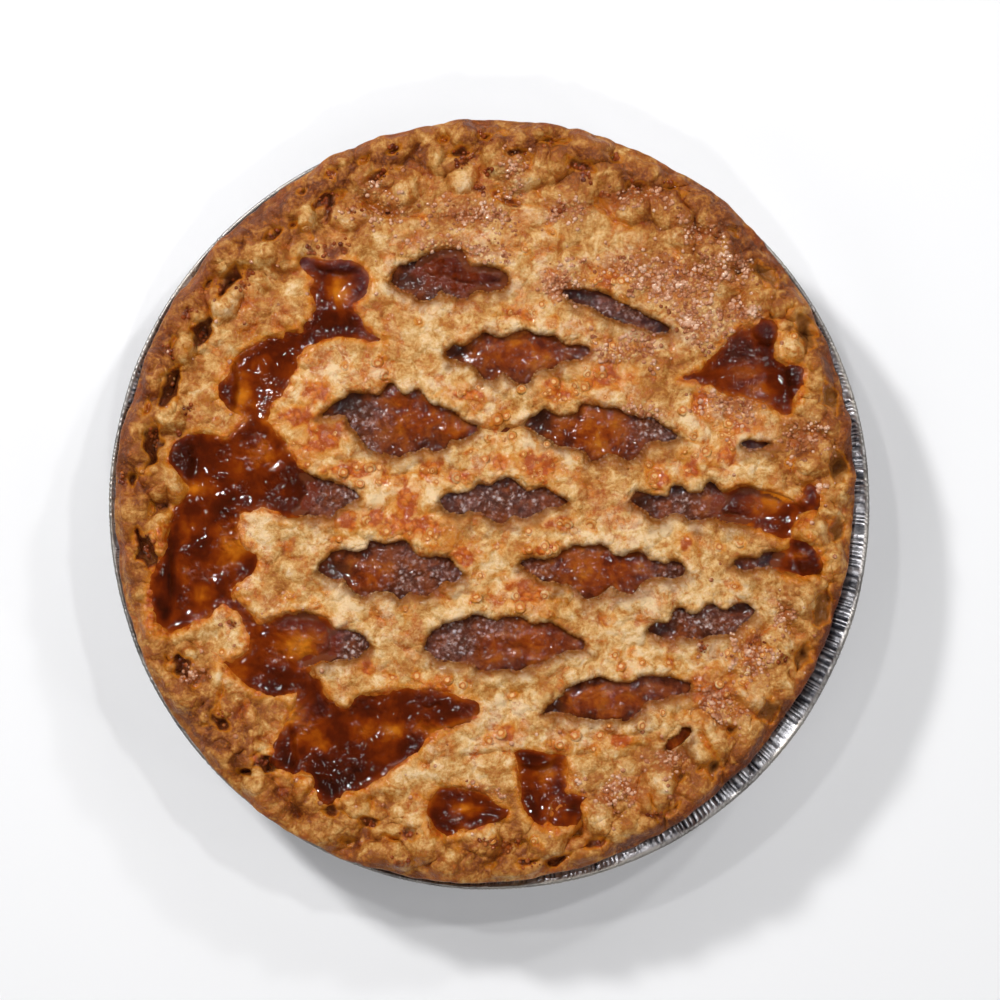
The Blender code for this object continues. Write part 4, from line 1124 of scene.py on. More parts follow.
def crustMaterial():
    made, tree, shader, place = newMaterial("bakedCrust")
    paints = crustColours
    broad, middle, fine = unevenAt(tree, place, 80.0, 260.0, 1200.0)
    bubbles = bubblesAt(tree, place, 430.0, 0.0016)
    hollow, browning, film, ring, sugar, pit = (
        attribute(tree, name) for name in ("hollow", "browning", "film", "ring", "sugar", "pit"))
    # the baked colour, made browner in the hollows as painted shade
    bake = addUp(tree, browning, (broad, 0.9), (middle, 1.75), (hollow, 0.26), (fine, 0.75), clamp=True)
    colour = colourRamp(tree, bake, paints["bake"])
    # small reddish flecks
    fleck = span(tree, addUp(tree, middle, (fine, 0.7)), 0.09, 0.21, smooth=True)
    fleck = times(tree, fleck, span(tree, browning, 0.2, 0.7, 0.3, 0.7))
    colour = mixColour(tree, fleck, colour, paints["fleck"])
    # orange-red staining in hollows, with paler bubbles standing in it
    blush = span(tree, noiseAt(tree, place, 150.0, 6.0, 0.66, 0.5), 0.49, 0.59, smooth=True)
    blush = times(tree, blush, span(tree, hollow, -0.4, 0.5, 0.3, 1.0))
    blush = times(tree, blush, span(tree, browning, 0.3, 0.75, 0.85, 0.3))
    patch = addUp(tree, attribute(tree, "stain"), (middle, 1.1))
    spread = span(tree, patch, 0.02, 0.45, smooth=True)
    patch = span(tree, patch, 0.3, 0.66, smooth=True)
    grain = span(tree, fine, -0.16, 0.05, 0.6, 1.15)
    blush = times(tree, most(tree, blush, patch), grain, clamp=True)
    colour = painted(tree, colour, spread, 0.6, paints["spread"])
    stainColour = mixColour(tree, bubbles["Border"], paints["stain"], paints["stainBorder"])
    colour = painted(tree, colour, blush, 0.92, stainColour)
    colour = painted(tree, colour, times(tree, blush, bubbles["Middle"]), 0.22, paints["pale"])
    # the film of syrup beside the openings, and the blisters
    colour = painted(tree, colour, film, 0.8, paints["film"])
    around = span(tree, ring, 0.05, 0.45, 0.0, 0.9, smooth=True)
    colour = mixColour(tree, around, colour, paints["blisterRing"])
    onTop = span(tree, ring, 0.6, 1.0, smooth=True)
    colour = mixColour(tree, onTop, colour, paints["blisterTop"])
    # melted sugar and caramel, then painted shade in the right-hand pockets and in the deepest hollows and
    # pockets
    crystals = bubblesAt(tree, place, 900.0, 0.0008)
    frost = times(tree, sugar, crystals["Middle"], clamp=True)
    pits = times(tree, sugar, crystals["Border"], clamp=True)
    colour = painted(tree, colour, pits, 0.9, paints["sugarPit"])
    colour = painted(tree, colour, frost, 0.45, paints["frost"])
    caramelField = most(tree, attribute(tree, "caramel"), pit)
    ragged = span(tree, addUp(tree, caramelField, (middle, 2.4)), 0.38, 0.95, smooth=True)
    caramel = times(tree, ragged, span(tree, caramelField, 0.02, 0.2))
    caramelColour = mixColour(tree, bubbles["Border"], paints["caramel"], paints["caramelBorder"])
    colour = painted(tree, colour, caramel, 0.9, caramelColour)
    colour = painted(tree, colour, attribute(tree, "shade"), 0.75, paints["shade"])
    deep = most(tree, span(tree, hollow, 0.7, 1.8, smooth=True), pit)
    colour = painted(tree, colour, deep, 0.75, paints["deep"])
    gloss = most(tree, most(tree, blush, spread), most(tree, caramel, film))
    raised = times(tree, most(tree, blush, caramel), bubbles["Middle"])
    height = addUp(tree, times(tree, middle, 0.6), (fine, 0.8), (raised, 0.6), (frost, 0.7))
    setInputs(tree, shader, {
        "Base Color": colour, "Roughness": span(tree, gloss, 0.0, 1.0, 0.4, 0.14),
        "Normal": bumped(tree, 0.9, 0.68 * mm, height), "Specular IOR Level": 0.25,
        "Coat Weight": span(tree, gloss, 0.1, 1.0, 0.02, 0.24), "Coat Roughness": 0.15,
        "Subsurface Weight": 0.1, "Subsurface Scale": 1.0 * mm, "Subsurface Radius": (1.0, 0.4, 0.15)})
    return made


syrupColours = {
    "depth": ((0.0, (0.47, 0.135, 0.006)), (0.2, (0.29, 0.058, 0.002)), (0.42, (0.16, 0.021, 0.001)),
              (0.65, (0.080, 0.009, 0.001)), (1.0, (0.028, 0.004, 0.001))),
    "thinEnd": (0.145, 0.036, 0.011),
}


def syrupMaterial():
    made, tree, shader, place = newMaterial("setSyrup")
    broad, middle = unevenAt(tree, place, 75.0, 380.0, 900.0)[:2]
    thickness, amber, lively = (attribute(tree, name) for name in ("thickness", "amber", "lively"))
    depth = addUp(tree, 0.33, (thickness, 0.17), (broad, 1.3), (amber, -0.5), (middle, 0.08), clamp=True)
    colour = colourRamp(tree, depth, syrupColours["depth"])
    # thin ends in an opening show the filling
    thin = addUp(tree, attribute(tree, "thin"), (middle, 1.2))
    thin = span(tree, thin, 0.1, 0.8, 0.0, 0.9, smooth=True)
    colour = mixColour(tree, thin, colour, syrupColours["thinEnd"])
    swell = noiseAroundZero(tree, place, 330.0, 1.0, 0.4, 0.4)
    glitter = noiseAroundZero(tree, place, 760.0, 0.6, 0.4, 0.3)
    ripple = times(tree, swell, span(tree, lively, 0.0, 1.0, 0.28, 1.1))
    height = addUp(tree, ripple, (glitter, span(tree, lively, 0.05, 0.7, 0.0, 0.9)))
    setInputs(tree, shader, {
        "Base Color": colour, "Roughness": 0.05, "Normal": bumped(tree, 0.8, 0.9 * mm, height),
        "Specular IOR Level": 0.22, "Subsurface Weight": 0.06, "Subsurface Scale": 2.0 * mm,
        "Subsurface Radius": (1.0, 0.2, 0.05)})
    return made


fillingColours = {
    "fruit": ((0.2, (0.10, 0.013, 0.002)), (0.42, (0.21, 0.032, 0.002)), (0.62, (0.31, 0.066, 0.003)),
              (0.85, (0.42, 0.13, 0.008))),
    "jelly": ((0.25, (0.038, 0.008, 0.003)), (0.45, (0.10, 0.019, 0.005)), (0.65, (0.18, 0.038, 0.008)),
              (0.9, (0.26, 0.066, 0.012))),
    "froth": ((0.0, (0.085, 0.026, 0.014)), (0.14, (0.20, 0.082, 0.050)), (0.3, (0.32, 0.185, 0.145)),
              (0.55, (0.60, 0.49, 0.46))),
    "wet": (0.14, 0.018, 0.002), "sunk": (0.045, 0.012, 0.005),
}


def fillingMaterial():
    made, tree, shader, place = newMaterial("appleFilling")
    paints = fillingColours
    broad, middle, fine = unevenAt(tree, place, 150.0, 420.0, 1100.0)
    bubbles = bubblesAt(tree, place, 620.0, 0.0016)
    foam = attribute(tree, "foam")
    cloud = addUp(tree, 0.48, (broad, 1.7), (middle, 0.6))
    mottle = addUp(tree, times(tree, fine, 1.1), (middle, 1.3), (bubbles["Middle"], 0.55))
    jelly, fruit = colourRamp(tree, cloud, paints["jelly"]), colourRamp(tree, cloud, paints["fruit"])
    colour = mixColour(tree, attribute(tree, "amber"), jelly, fruit)
    frothShare = times(tree, foam, span(tree, broad, 0.14, -0.06, 0.25, 1.0))
    colour = painted(tree, colour, frothShare, 0.85, colourRamp(tree, mottle, paints["froth"]))
    wet = span(tree, calc(tree, "ADD", attribute(tree, "wet"), broad), 0.35, 0.8, smooth=True)
    colour = painted(tree, colour, wet, 0.9, paints["wet"])
    # painted shade where the filling sinks
    colour = painted(tree, colour, attribute(tree, "sunk"), 0.75, paints["sunk"])
    glitter = noiseAroundZero(tree, place, 900.0, 0.8, 0.4, 0.4)
    swell = noiseAroundZero(tree, place, 330.0, 1.0, 0.4, 0.4)
    fineHeight = addUp(tree, glitter, (bubbles["Middle"], 0.5))
    height = addUp(tree, times(tree, fineHeight, span(tree, foam, 0.0, 1.0, 0.3, 1.05)), (swell, 0.8))
    setInputs(tree, shader, {
        "Base Color": colour, "Roughness": 0.07, "Normal": bumped(tree, 0.9, 0.75 * mm, height),
        "Specular IOR Level": 0.34, "Subsurface Weight": 0.08, "Subsurface Scale": 1.5 * mm,
        "Subsurface Radius": (1.0, 0.3, 0.1)})
    return made


foilColours = {"crest": (0.66, 0.65, 0.68), "groove": (0.055, 0.055, 0.065), "baked": (0.42, 0.38, 0.33)}


def foilMaterial():
    made, tree, shader, place = newMaterial("thinFoil")
    broad, middle, fine = unevenAt(tree, place, 60.0, 300.0, 800.0)
    rolled = attribute(tree, "rolled")
    crest = addUp(tree, attribute(tree, "crest"), (middle, 1.4), (broad, 2.2))
    # painted dark reflections in the grooves between flutes, darkest on the flange above the wall
    height = addNode(tree, "ShaderNodeSeparateXYZ", {0: place}).outputs["Z"]
    darkest = span(tree, height, 24.6 * mm, 26.2 * mm, 0.35, 1.0)
    groove = times(tree, span(tree, crest, 0.5, -0.55, smooth=True), darkest)
    colour = mixColour(tree, groove, foilColours["crest"], foilColours["groove"])
    # the rolled edge is painted with a patchy tan reflection of the crust
    baked = span(tree, broad, -0.1, 0.15, 0.45, 0.95, smooth=True)
    colour = mixColour(tree, times(tree, rolled, baked), colour, foilColours["baked"])
    rough = span(tree, addUp(tree, middle, (rolled, 0.3)), -0.2, 0.5, 0.3, 0.5)
    setInputs(tree, shader, {"Base Color": colour, "Roughness": rough, "Metallic": 1.0,
                             "Normal": bumped(tree, 0.35, 0.3 * mm, fine)})
    return made


grainColours = {
    "sugar": ((0.36, (0.26, 0.070, 0.022)), (0.5, (0.48, 0.20, 0.095)), (0.68, (0.76, 0.50, 0.35))),
    "caramel": ((0.36, (0.11, 0.017, 0.004)), (0.52, (0.24, 0.043, 0.007)), (0.7, (0.42, 0.13, 0.03))),
}


def grainMaterial(name, paints, scale, roughness, specular):
    made, tree, shader, place = newMaterial(name)
    colour = colourRamp(tree, noiseAt(tree, place, scale, 3.0), paints)
    setInputs(tree, shader, {"Base Color": colour, "Roughness": roughness, "Specular IOR Level": specular})
    return made


crustLook, syrupLook = crustMaterial(), syrupMaterial()
fillingLook, foilLook = fillingMaterial(), foilMaterial()
sugarLook = grainMaterial("sugarCrystals", grainColours["sugar"], 330.0, 0.1, 0.6)
caramelLook = grainMaterial("caramelBeads", grainColours["caramel"], 300.0, 0.12, 0.45)
print("materials ready")

# Crust meshes

sheetTop -= sinkUnderSyrup(sheetFlat)
sheetPoints = np.column_stack([sheetFlat, sheetTop])
count = len(sheetPoints)
allPoints = [sheetPoints]
allFaces = [sheetFaces]
loops = [np.array(loop) for loop in numbered([border, *openingCurves])]
# Walls of the openings go back under the dough and down, in mm
wallRows = ((0.05, 0.7), (0.0, 1.5), (0.5, 2.3))
lowLoops = []
for curve, loop in zip(openingCurves, loops[1:]):
    back = outlineNormals(curve)
    upper = loop
    for inset, down in wallRows:
        spots = sheetPoints[loop].copy()
        spots[:, :2] += back * inset * mm
        spots[:, 2] -= down * mm
        lower = np.arange(count, count + len(loop))
        allPoints.append(spots)
        count += len(loop)
        allFaces += strip(upper, lower)
        upper = lower
    lowLoops.append(upper)
lowBorder = np.arange(count, count + rimColumns)
allPoints.append(borderLow)
count += rimColumns
allFaces += [tris[:, ::-1] for tris in strip(loops[0], lowBorder)]
sheetAll = np.vstack(allPoints)
# The underside, from the border to the lower edges of the openings
underFlat, underFaces = fillBetween(border, [sheetAll[loop][:, :2] for loop in lowLoops], np.zeros((0, 2)))
underPlaces = np.concatenate([lowBorder, *lowLoops])
for spot in underFlat[len(underPlaces):]:
    nearest = underPlaces[np.argmin(np.hypot(*(sheetAll[underPlaces, :2] - spot).T))]
    sheetAll = np.vstack([sheetAll, [*spot, sheetAll[nearest, 2]]])
    underPlaces = np.append(underPlaces, count)
    count += 1
sheetTris = np.vstack([*allFaces, underPlaces[underFaces][:, ::-1]])

rimPoints[topShare, 2] -= sinkUnderSyrup(topRim)
rimRows = np.arange(len(rimPoints)).reshape(rowCount, -1)
rimTris = np.vstack([tris for upper, lower in zip(rimRows, np.roll(rimRows, -1, axis=0))
                     for tris in strip(upper, lower)])
# The last row of the rim and the border of the sheet are the same points
rimPoints[-rimColumns:] = sheetPoints[:rimColumns]


def pointNormals(points, faces):
    corners = points[faces]
    normals = np.cross(corners[:, 1] - corners[:, 0], corners[:, 2] - corners[:, 0])
    total = np.zeros_like(points)
    for corner in range(3):
        np.add.at(total, faces[:, corner], normals)
    return total


def outward(points, faces):
    corners = points[faces]
    volume = np.einsum("ij,ij->i", corners[:, 0], np.cross(corners[:, 1], corners[:, 2])).sum()
    return faces if volume > 0.0 else faces[:, ::-1]


rimTris = outward(rimPoints, rimTris)
sheetTris = outward(sheetAll, sheetTris)
sheetNormals = pointNormals(sheetAll, sheetFaces)
visibleRim = rimTris[(rimTris >= rimColumns * len(hidden)).all(axis=1)]
rimNormals = pointNormals(rimPoints, visibleRim)
shared = sheetNormals[:rimColumns] + rimNormals[-rimColumns:]
shared /= np.linalg.norm(shared, axis=1)[:, None]

# Slopes are pushed outwards, so that lumps bulge and creases close up
bulge = 0.45 * mm
sheetNormals /= np.linalg.norm(sheetNormals, axis=1)[:, None] + 1e-12
sheetNormals[:rimColumns] = shared
fade = smoothStep(0.3 * mm, 2.2 * mm, sheetDistance)
fade *= smoothStep(0.0, 0.8 * mm, np.abs(syrupDepth(sheetFlat, allSyrup)))
fade[:rimColumns] = 1.0
sheetAll[:len(sheetFlat), :2] += bulge * fade[:, None] * sheetNormals[:len(sheetFlat), :2]
rimNormals /= np.linalg.norm(rimNormals, axis=1)[:, None] + 1e-12
rimNormals[-rimColumns:] = shared
rimInward = np.repeat(np.maximum(np.arange(rowCount) - len(hidden), 0) / 6.0, rimColumns)
rimPoints[:, :2] += bulge * np.clip(rimInward, 0.0, 1.0)[:, None] * rimNormals[:, :2]

lattice = newPiece("crust_lattice", sheetAll, sheetTris, crustLook, crustValues(sheetAll))
rimPiece = newPiece("crust_rim", rimPoints, rimTris, crustLook, crustValues(rimPoints))


def matchNormals(piece, places, normals):
    mesh = piece.data
    table = np.zeros((len(mesh.vertices), 3), np.float32)
    mesh.vertex_normals.foreach_get("vector", table.ravel())
    table[places] = normals
    mesh.normals_split_custom_set_from_vertices(table.tolist())


matchNormals(lattice, np.arange(rimColumns), shared)
matchNormals(rimPiece, np.arange(rimColumns) - rimColumns, shared)
print("crust built:", len(lattice.data.polygons), "and", len(rimPiece.data.polygons), "faces")

# Filling

fillAngles = np.linspace(0.0, 2.0 * math.pi, 240, endpoint=False)
fillBorder = polar(fillingShape["radius"], fillAngles, 0.0)[:, :2]
coarseGrid = hexGrid(fillingShape["radius"] - 2.0 * mm, fillingShape["coarse"])
fineGrid = hexGrid(fillingShape["radius"] - 0.6 * mm, fillingShape["fine"])
# The fine grid lies in the openings and just under their edges, the coarse one everywhere else
fineGrid = fineGrid[~outsideOpenings(fineGrid) | (distanceTo(fineGrid, openingCurves) < 1.2 * mm)]
farOff = distanceTo(coarseGrid, openingCurves) > 2.4 * mm
coarseGrid = coarseGrid[outsideOpenings(coarseGrid) & farOff]
fillFlat, fillFaces = fillBetween(fillBorder, [], np.vstack([fineGrid, coarseGrid]))
amber, foam, sunk = fillingParts(fillFlat)
fillTopPoints = np.column_stack([fillFlat, fillingHeight(fillFlat)])
fillLow = flat3(fillBorder, fillingShape["floor"])
fillAll = np.vstack([fillTopPoints, fillLow])
ringTop = np.arange(len(fillBorder))
ringLow = len(fillTopPoints) + ringTop
a, b, c, d = ringTop, np.roll(ringTop, -1), ringLow, np.roll(ringLow, -1)
fan = np.column_stack([np.full(len(ringLow) - 2, ringLow[0]), ringLow[2:], ringLow[1:-1]])
fillTris = np.vstack([fillFaces, np.column_stack([b, a, c]), np.column_stack([b, c, d]), fan])
pad = np.zeros(len(fillLow))
filling = newPiece("apple_filling", fillAll, outward(fillAll, fillTris), fillingLook, {
    "amber": np.concatenate([amber, pad]), "foam": np.concatenate([foam * (1.0 - 0.5 * amber), pad]),
    "sunk": np.concatenate([smoothStep(0.25, 0.8, sunk), pad]),
    "wet": np.concatenate([smoothStep(-5.0 * mm, 1.0 * mm, syrupDepth(fillFlat, allSyrup)), pad])})
print("filling built:", len(filling.data.polygons), "faces")

# Syrup

syrupShape = {
    "below": 1.3 * mm, "meniscus": 0.45 * mm, "bead": 0.75 * mm, "beadWidth": 1.2 * mm, "sag": 0.5 * mm,
    "grid": 0.42 * mm, "hidden": 1.5 * mm, "body": 0.9 * mm,
}
# Puckered places in the syrup: x, y, half sizes in mm
pucker = (
    (-8, 61, 9, 4), (2, 60, 4, 2), (-50, -36, 5, 6), (-56, -60, 4, 8), (-38, -70, 7, 4), (68, 33, 4, 6),
    (-62, 13.5, 4, 5), (-67, -6, 2, 4), (-56, -41, 4, 4), (-44, -69.5, 6, 3), (-33, -62.5, 2, 3),
    (-18.5, -59, 4, 3), (-40.5, 61.5, 5, 1.5), (-80, 12, 2, 4), (-35, -52.5, 5, 2), (-78, -18, 3, 2),
    (-58, 3.5, 2.5, 2), (73, 42, 3, 5), (80, 30, 2, 5), (-12, 58, 8, 3), (-10, -84, 3, 3), (17, -76, 3, 4),
    (84, -14, 2, 3), (66, -3, 4, 2), (-50, -38, 3, 4), (82, -15, 3, 3), (-34, 58, 2, 6), (-69.5, 30, 1.5, 7),
    (-84, 10, 1.5, 5), (-52, -36, 3, 3), (-5, -55.5, 3, 2), (68, 40, 2, 3), (77, 1, 3, 2),
)
syrupGroove = {"from": -31.0, "to": -14.0, "y": -54.2, "width": 1.0, "depth": 1.5}
# Thin, lighter places in the syrup: x, y, half sizes in mm
amberSpots = (
    (-50, -38, 6, 4), (-47, -62, 7, 5), (-30, -60, 7, 4), (-68, -12, 4, 6), (72, 30, 5, 4), (-77, 4, 3.5, 5),
    (-80, -7, 3, 4), (-52, -57, 4, 5), (-15, -60, 7, 2.5), (68, 35, 7, 4), (-66, 30, 3, 6), (-60, 38, 4, 3),
    (-40, 55, 3, 5), (16, -72, 5, 4), (74, 0, 6, 3), (-58, 12, 4, 4), (-76, -25, 4, 4), (-6, -81, 4, 2.5),
    (-25, -60, 5, 2.5), (82, -14, 3, 2),
)


def syrupTop(name, number, flat, depth):
    spots = flat3(flat, 0.03)
    shape = syrupShape
    sag = shape["sag"] * smoothStep(1.0 * mm, 6.0 * mm, depth)
    calm = smoothStep(0.0, 1.6 * mm, depth)
    climb = shape["meniscus"] * np.exp(-(((depth - 0.2 * mm) / (1.1 * mm)) ** 2))
    bank = climb - shape["below"]
    uneven = 1.0 + 0.5 * smoothNoise(spots, 6.0 * mm, 60.0 + number)
    t = np.clip((depth + 0.25 * mm) / shape["beadWidth"], 0.0, 1.0)
    bead = shape["bead"] * np.sqrt(1.0 - (1.0 - t) ** 2) * uneven - 0.2 * mm
    bead -= 2.2 * mm * smoothStep(-0.2 * mm, -0.8 * mm, depth)
    share = beadShare(flat)
    top = sampleGrid(wideMap, flat) + bank * (1.0 - share) + bead * share - sag
    swells = 0.35 * smoothNoise(spots, 11.0 * mm, 61.0) + 0.1 * smoothNoise(spots, 3.2 * mm, 62.0)
    top += mm * calm * swells
    # the edges of overlapping sheets stand out as low ridges
    if len(sheetCurves[name]) > 1:
        for sheet in sheetCurves[name]:
            off = distanceTo(flat, [sheet])
            fold = smoothStep(-0.1, 0.3, smoothNoise(spots, 9.0 * mm, 65.0))
            top += 0.35 * mm * calm * fold * np.exp(-((off / (0.8 * mm)) ** 2))
    creased = spotField(flat, pucker)
    ripples = 0.6 * (lumps(spots, 2.0 * mm, 63.0) - 0.55) + 0.25 * smoothNoise(spots, 0.9 * mm, 64.0)
    top += 1.15 * mm * calm * creased * ripples
    groove = syrupGroove
    nearest = np.clip(flat[:, 0] / mm, groove["from"], groove["to"])
    bend = 0.7 * np.sin(nearest / 2.6) + 0.4 * np.sin(nearest / 1.1)
    off = np.hypot(flat[:, 0] / mm - nearest, flat[:, 1] / mm - groove["y"] - bend)
    top -= groove["depth"] * mm * np.exp(-((off / groove["width"]) ** 2)) * calm
    # over an opening the syrup runs down into the filling
    inOpening = distanceTo(flat, openingCurves) * np.where(outsideOpenings(flat), -1.0, 1.0)
    share = smoothStep(-1.0 * mm, 3.0 * mm, inOpening)
    run = fillingHeight(flat) + 1.0 * mm - 1.6 * mm * smoothStep(3.2 * mm, 0.1 * mm, depth)
    return top * (1.0 - share) + np.minimum(top, run) * share


def makeSyrup(name, number):
    outlines = syrupCurves[name]
    grid = hexGrid(97.0 * mm, syrupShape["grid"])
    low = np.min([outline.min(0) for outline in outlines], axis=0) - 2.0 * mm
    high = np.max([outline.max(0) for outline in outlines], axis=0) + 2.0 * mm
    grid = grid[((grid > low) & (grid < high)).all(axis=1)]
    depth = syrupDepth(grid, outlines)
    kept = depth > -syrupShape["hidden"]
    grid, depth = grid[kept], depth[kept]
    found = triangulated(grid, [])
    places = np.array([source[0] for source in found[3]])
    tris = places[np.array(found[2])]
    corners = grid[tris]
    longest = np.max(np.linalg.norm(corners - np.roll(corners, 1, axis=1), axis=2), axis=1)
    tris = tris[longest < 1.5 * syrupShape["grid"]]
    top = syrupTop(name, number, grid, depth)
    dough = doughHeight(grid) - sinkUnderSyrup(grid)
    covered = outsideOpenings(grid)
    # no dough comes through away from the edge
    least = dough + 0.3 * mm - 1.5 * mm * smoothStep(1.8 * mm, 0.6 * mm, depth)
    top = np.where(covered, np.maximum(top, least), top)
    least = fillingHeight(grid) + 0.7 * mm - 2.0 * mm * smoothStep(2.2 * mm, 0.4 * mm, depth)
    top = np.maximum(top, least)
    thickness = np.where(covered, np.clip((top - dough) / mm, 0.0, 3.4), 1.8)
    # small ripples near the edges and in puckers, where the light breaks up
    patchy = smoothStep(-0.2, 0.25, smoothNoise(flat3(grid), 7.0 * mm, 66.0))
    lively = np.maximum(spotField(grid, pucker), patchy * smoothStep(3.4 * mm, 1.0 * mm, np.abs(depth)))
    lively = np.maximum(lively, 0.8 * smoothStep(0.25, 0.5, smoothNoise(flat3(grid), 6.0 * mm, 67.0)))
    upper = np.column_stack([grid, top])
    lower = np.column_stack([grid, top - syrupShape["body"]])
    total = len(grid)
    edges = np.vstack([tris[:, (0, 1)], tris[:, (1, 2)], tris[:, (2, 0)]])
    keys = edges[:, 0] * total + edges[:, 1]
    outerEdges = edges[~np.isin(keys, edges[:, 1] * total + edges[:, 0])]
    a, b = outerEdges.T
    walls = np.vstack([np.column_stack([b, a, a + total]), np.column_stack([b, a + total, b + total])])
    faces = np.vstack([tris, tris[:, ::-1] + total, walls])
    points = np.vstack([upper, lower])
    return newPiece(name + "_pool", points, outward(points, faces), syrupLook,
                    {"thickness": np.concatenate([thickness, thickness]),
                     "amber": np.tile(spotField(grid, amberSpots, 2.0), 2),
                     "thin": np.tile(np.where(covered, 0.0, smoothStep(2.6 * mm, 0.2 * mm, depth)), 2),
                     "lively": np.tile(lively, 2)})


syrupPieces = {name: makeSyrup(name, number) for number, name in enumerate(syrupSheets)}
print("syrup built:", sum(len(piece.data.polygons) for piece in syrupPieces.values()), "faces")

# Foil pan: a turned shell whose flutes are pressed in by a node tree

panShape = {
    "columns": 1800, "floorRadius": 76.0 * mm,
    "wallTopRadius": flange["innerRadius"] * mm, "wallTop": flange["innerTop"] * mm,
    "rimRadius": panHigh.x + 0.5 * mm, "rimHeight": panHigh.z, "roll": 0.62 * mm, "foil": 0.25 * mm,
    "flutes": 450, "fluteDepth": 0.3 * mm, "oval": 0.5 * mm,
    "ringRadius": 60.0 * mm, "ringWidth": 10.0 * mm, "ringHeight": 0.5 * mm, "ringSlope": 2.0 * mm,
}


def flutesTree():
    tree, source = geometryTree("panFlutes", {
        "Flutes": "Float", "Flute Depth": "Float", "Unevenness": "Float", "Seed": "Float",
        "Material": "Material"})
    place = addNode(tree, "GeometryNodeInputPosition").outputs[0]
    parts = addNode(tree, "ShaderNodeSeparateXYZ", {0: place}).outputs
    angle = calc(tree, "ARCTAN2", parts[1], parts[0])
    circle = {0: calc(tree, "COSINE", angle), 1: calc(tree, "SINE", angle), 2: source["Seed"]}
    ringSpot = addNode(tree, "ShaderNodeCombineXYZ", circle).outputs[0]

    def ringNoise(scale, detail):
        inputs = {"Vector": ringSpot, "Scale": scale, "Detail": detail}
        return calc(tree, "SUBTRACT", addNode(tree, "ShaderNodeTexNoise", inputs).outputs["Fac"], 0.5)

    slip = times(tree, times(tree, ringNoise(14.0, 3.0), source["Unevenness"]), 8.0)
    turns = calc(tree, "DIVIDE", times(tree, angle, source["Flutes"]), 2.0 * math.pi)
    wave = calc(tree, "PINGPONG", calc(tree, "ADD", turns, slip), 0.5)
    wave = calc(tree, "SUBTRACT", times(tree, wave, 4.0), 1.0)
    wave = times(tree, wave, span(tree, ringNoise(30.0, 2.0), -0.2, 0.2, 0.1, 1.4))
    share = storedValue(tree, "fluteShare")
    depth = times(tree, times(tree, wave, source["Flute Depth"]), share)
    inputs = {"Geometry": source["Geometry"], "Name": "crest", "Value": times(tree, wave, share)}
    marked = addNode(tree, "GeometryNodeStoreNamedAttribute", inputs, data_type="FLOAT", domain="POINT")
    offset = vectorCalc(tree, "SCALE", storedValue(tree, "pressed", "FLOAT_VECTOR"), depth)
    return finishTree(tree, marked.outputs[0], offset, source["Material"])


def panProfile():
    # radius, height, share of the flute depth, rolled edge or not
    shape = panShape
    floor, roll, foil = shape["floorRadius"], shape["roll"], shape["foil"]
    topR, topZ, rimR, rimZ = shape["wallTopRadius"], shape["wallTop"], shape["rimRadius"], shape["rimHeight"]
    outside = [(floor - 4.0 * mm, 0.0, 0.0, 0.0), (floor - 1.6 * mm, 0.0, 0.0, 0.0),
               (floor - 0.5 * mm, 0.35 * mm, 0.25, 0.0), (floor + 0.35 * mm, 1.2 * mm, 0.7, 0.0)]
    for t in np.linspace(0.1, 0.94, 12):
        bulge = 0.3 * mm * math.sin(math.pi * t)
        height = 1.2 * mm + t * (topZ - 1.2 * mm) - bulge
        outside.append((floor + 0.4 * mm + t * (topR - floor), height, 1.0, 0.0))
    for t in np.linspace(0.0, 1.0, 6):
        radius = topR + 0.9 * mm + t * (rimR - topR - 0.9 * mm - 1.6 * roll)
        height = topZ - 0.3 * mm + (1.0 - (1.0 - t) ** 2.4) * (rimZ - topZ - roll)
        outside.append((radius, height, 1.0 - 0.3 * t, 0.0))
    centreR, centreZ = rimR - roll, rimZ - roll
    for turn in np.linspace(-150.0, 120.0, 10):
        a = math.radians(turn)
        outside.append((centreR + roll * math.cos(a), centreZ + roll * math.sin(a), 0.35, 1.0))
    inside = []
    for t in np.linspace(0.94, 0.0, 6):
        radius = topR + 0.2 * mm + t * (rimR - topR - 2.0 * roll)
        rise = (1.0 - (1.0 - t) ** 2.4) * (rimZ - topZ - roll)
        inside.append((radius, topZ + 0.15 * mm + rise, 1.0 - 0.3 * t, 0.0))
    for t in np.linspace(0.9, 0.05, 5):
        radius = floor + t * (topR - floor)
        inside.append((radius, foil + 1.2 * mm + t * (topZ - 1.2 * mm), 0.8, 0.0))
    inside += [(floor - 2.0 * mm, foil, 0.0, 0.0), (floor - 4.0 * mm, foil, 0.0, 0.0)]
    return outside, inside


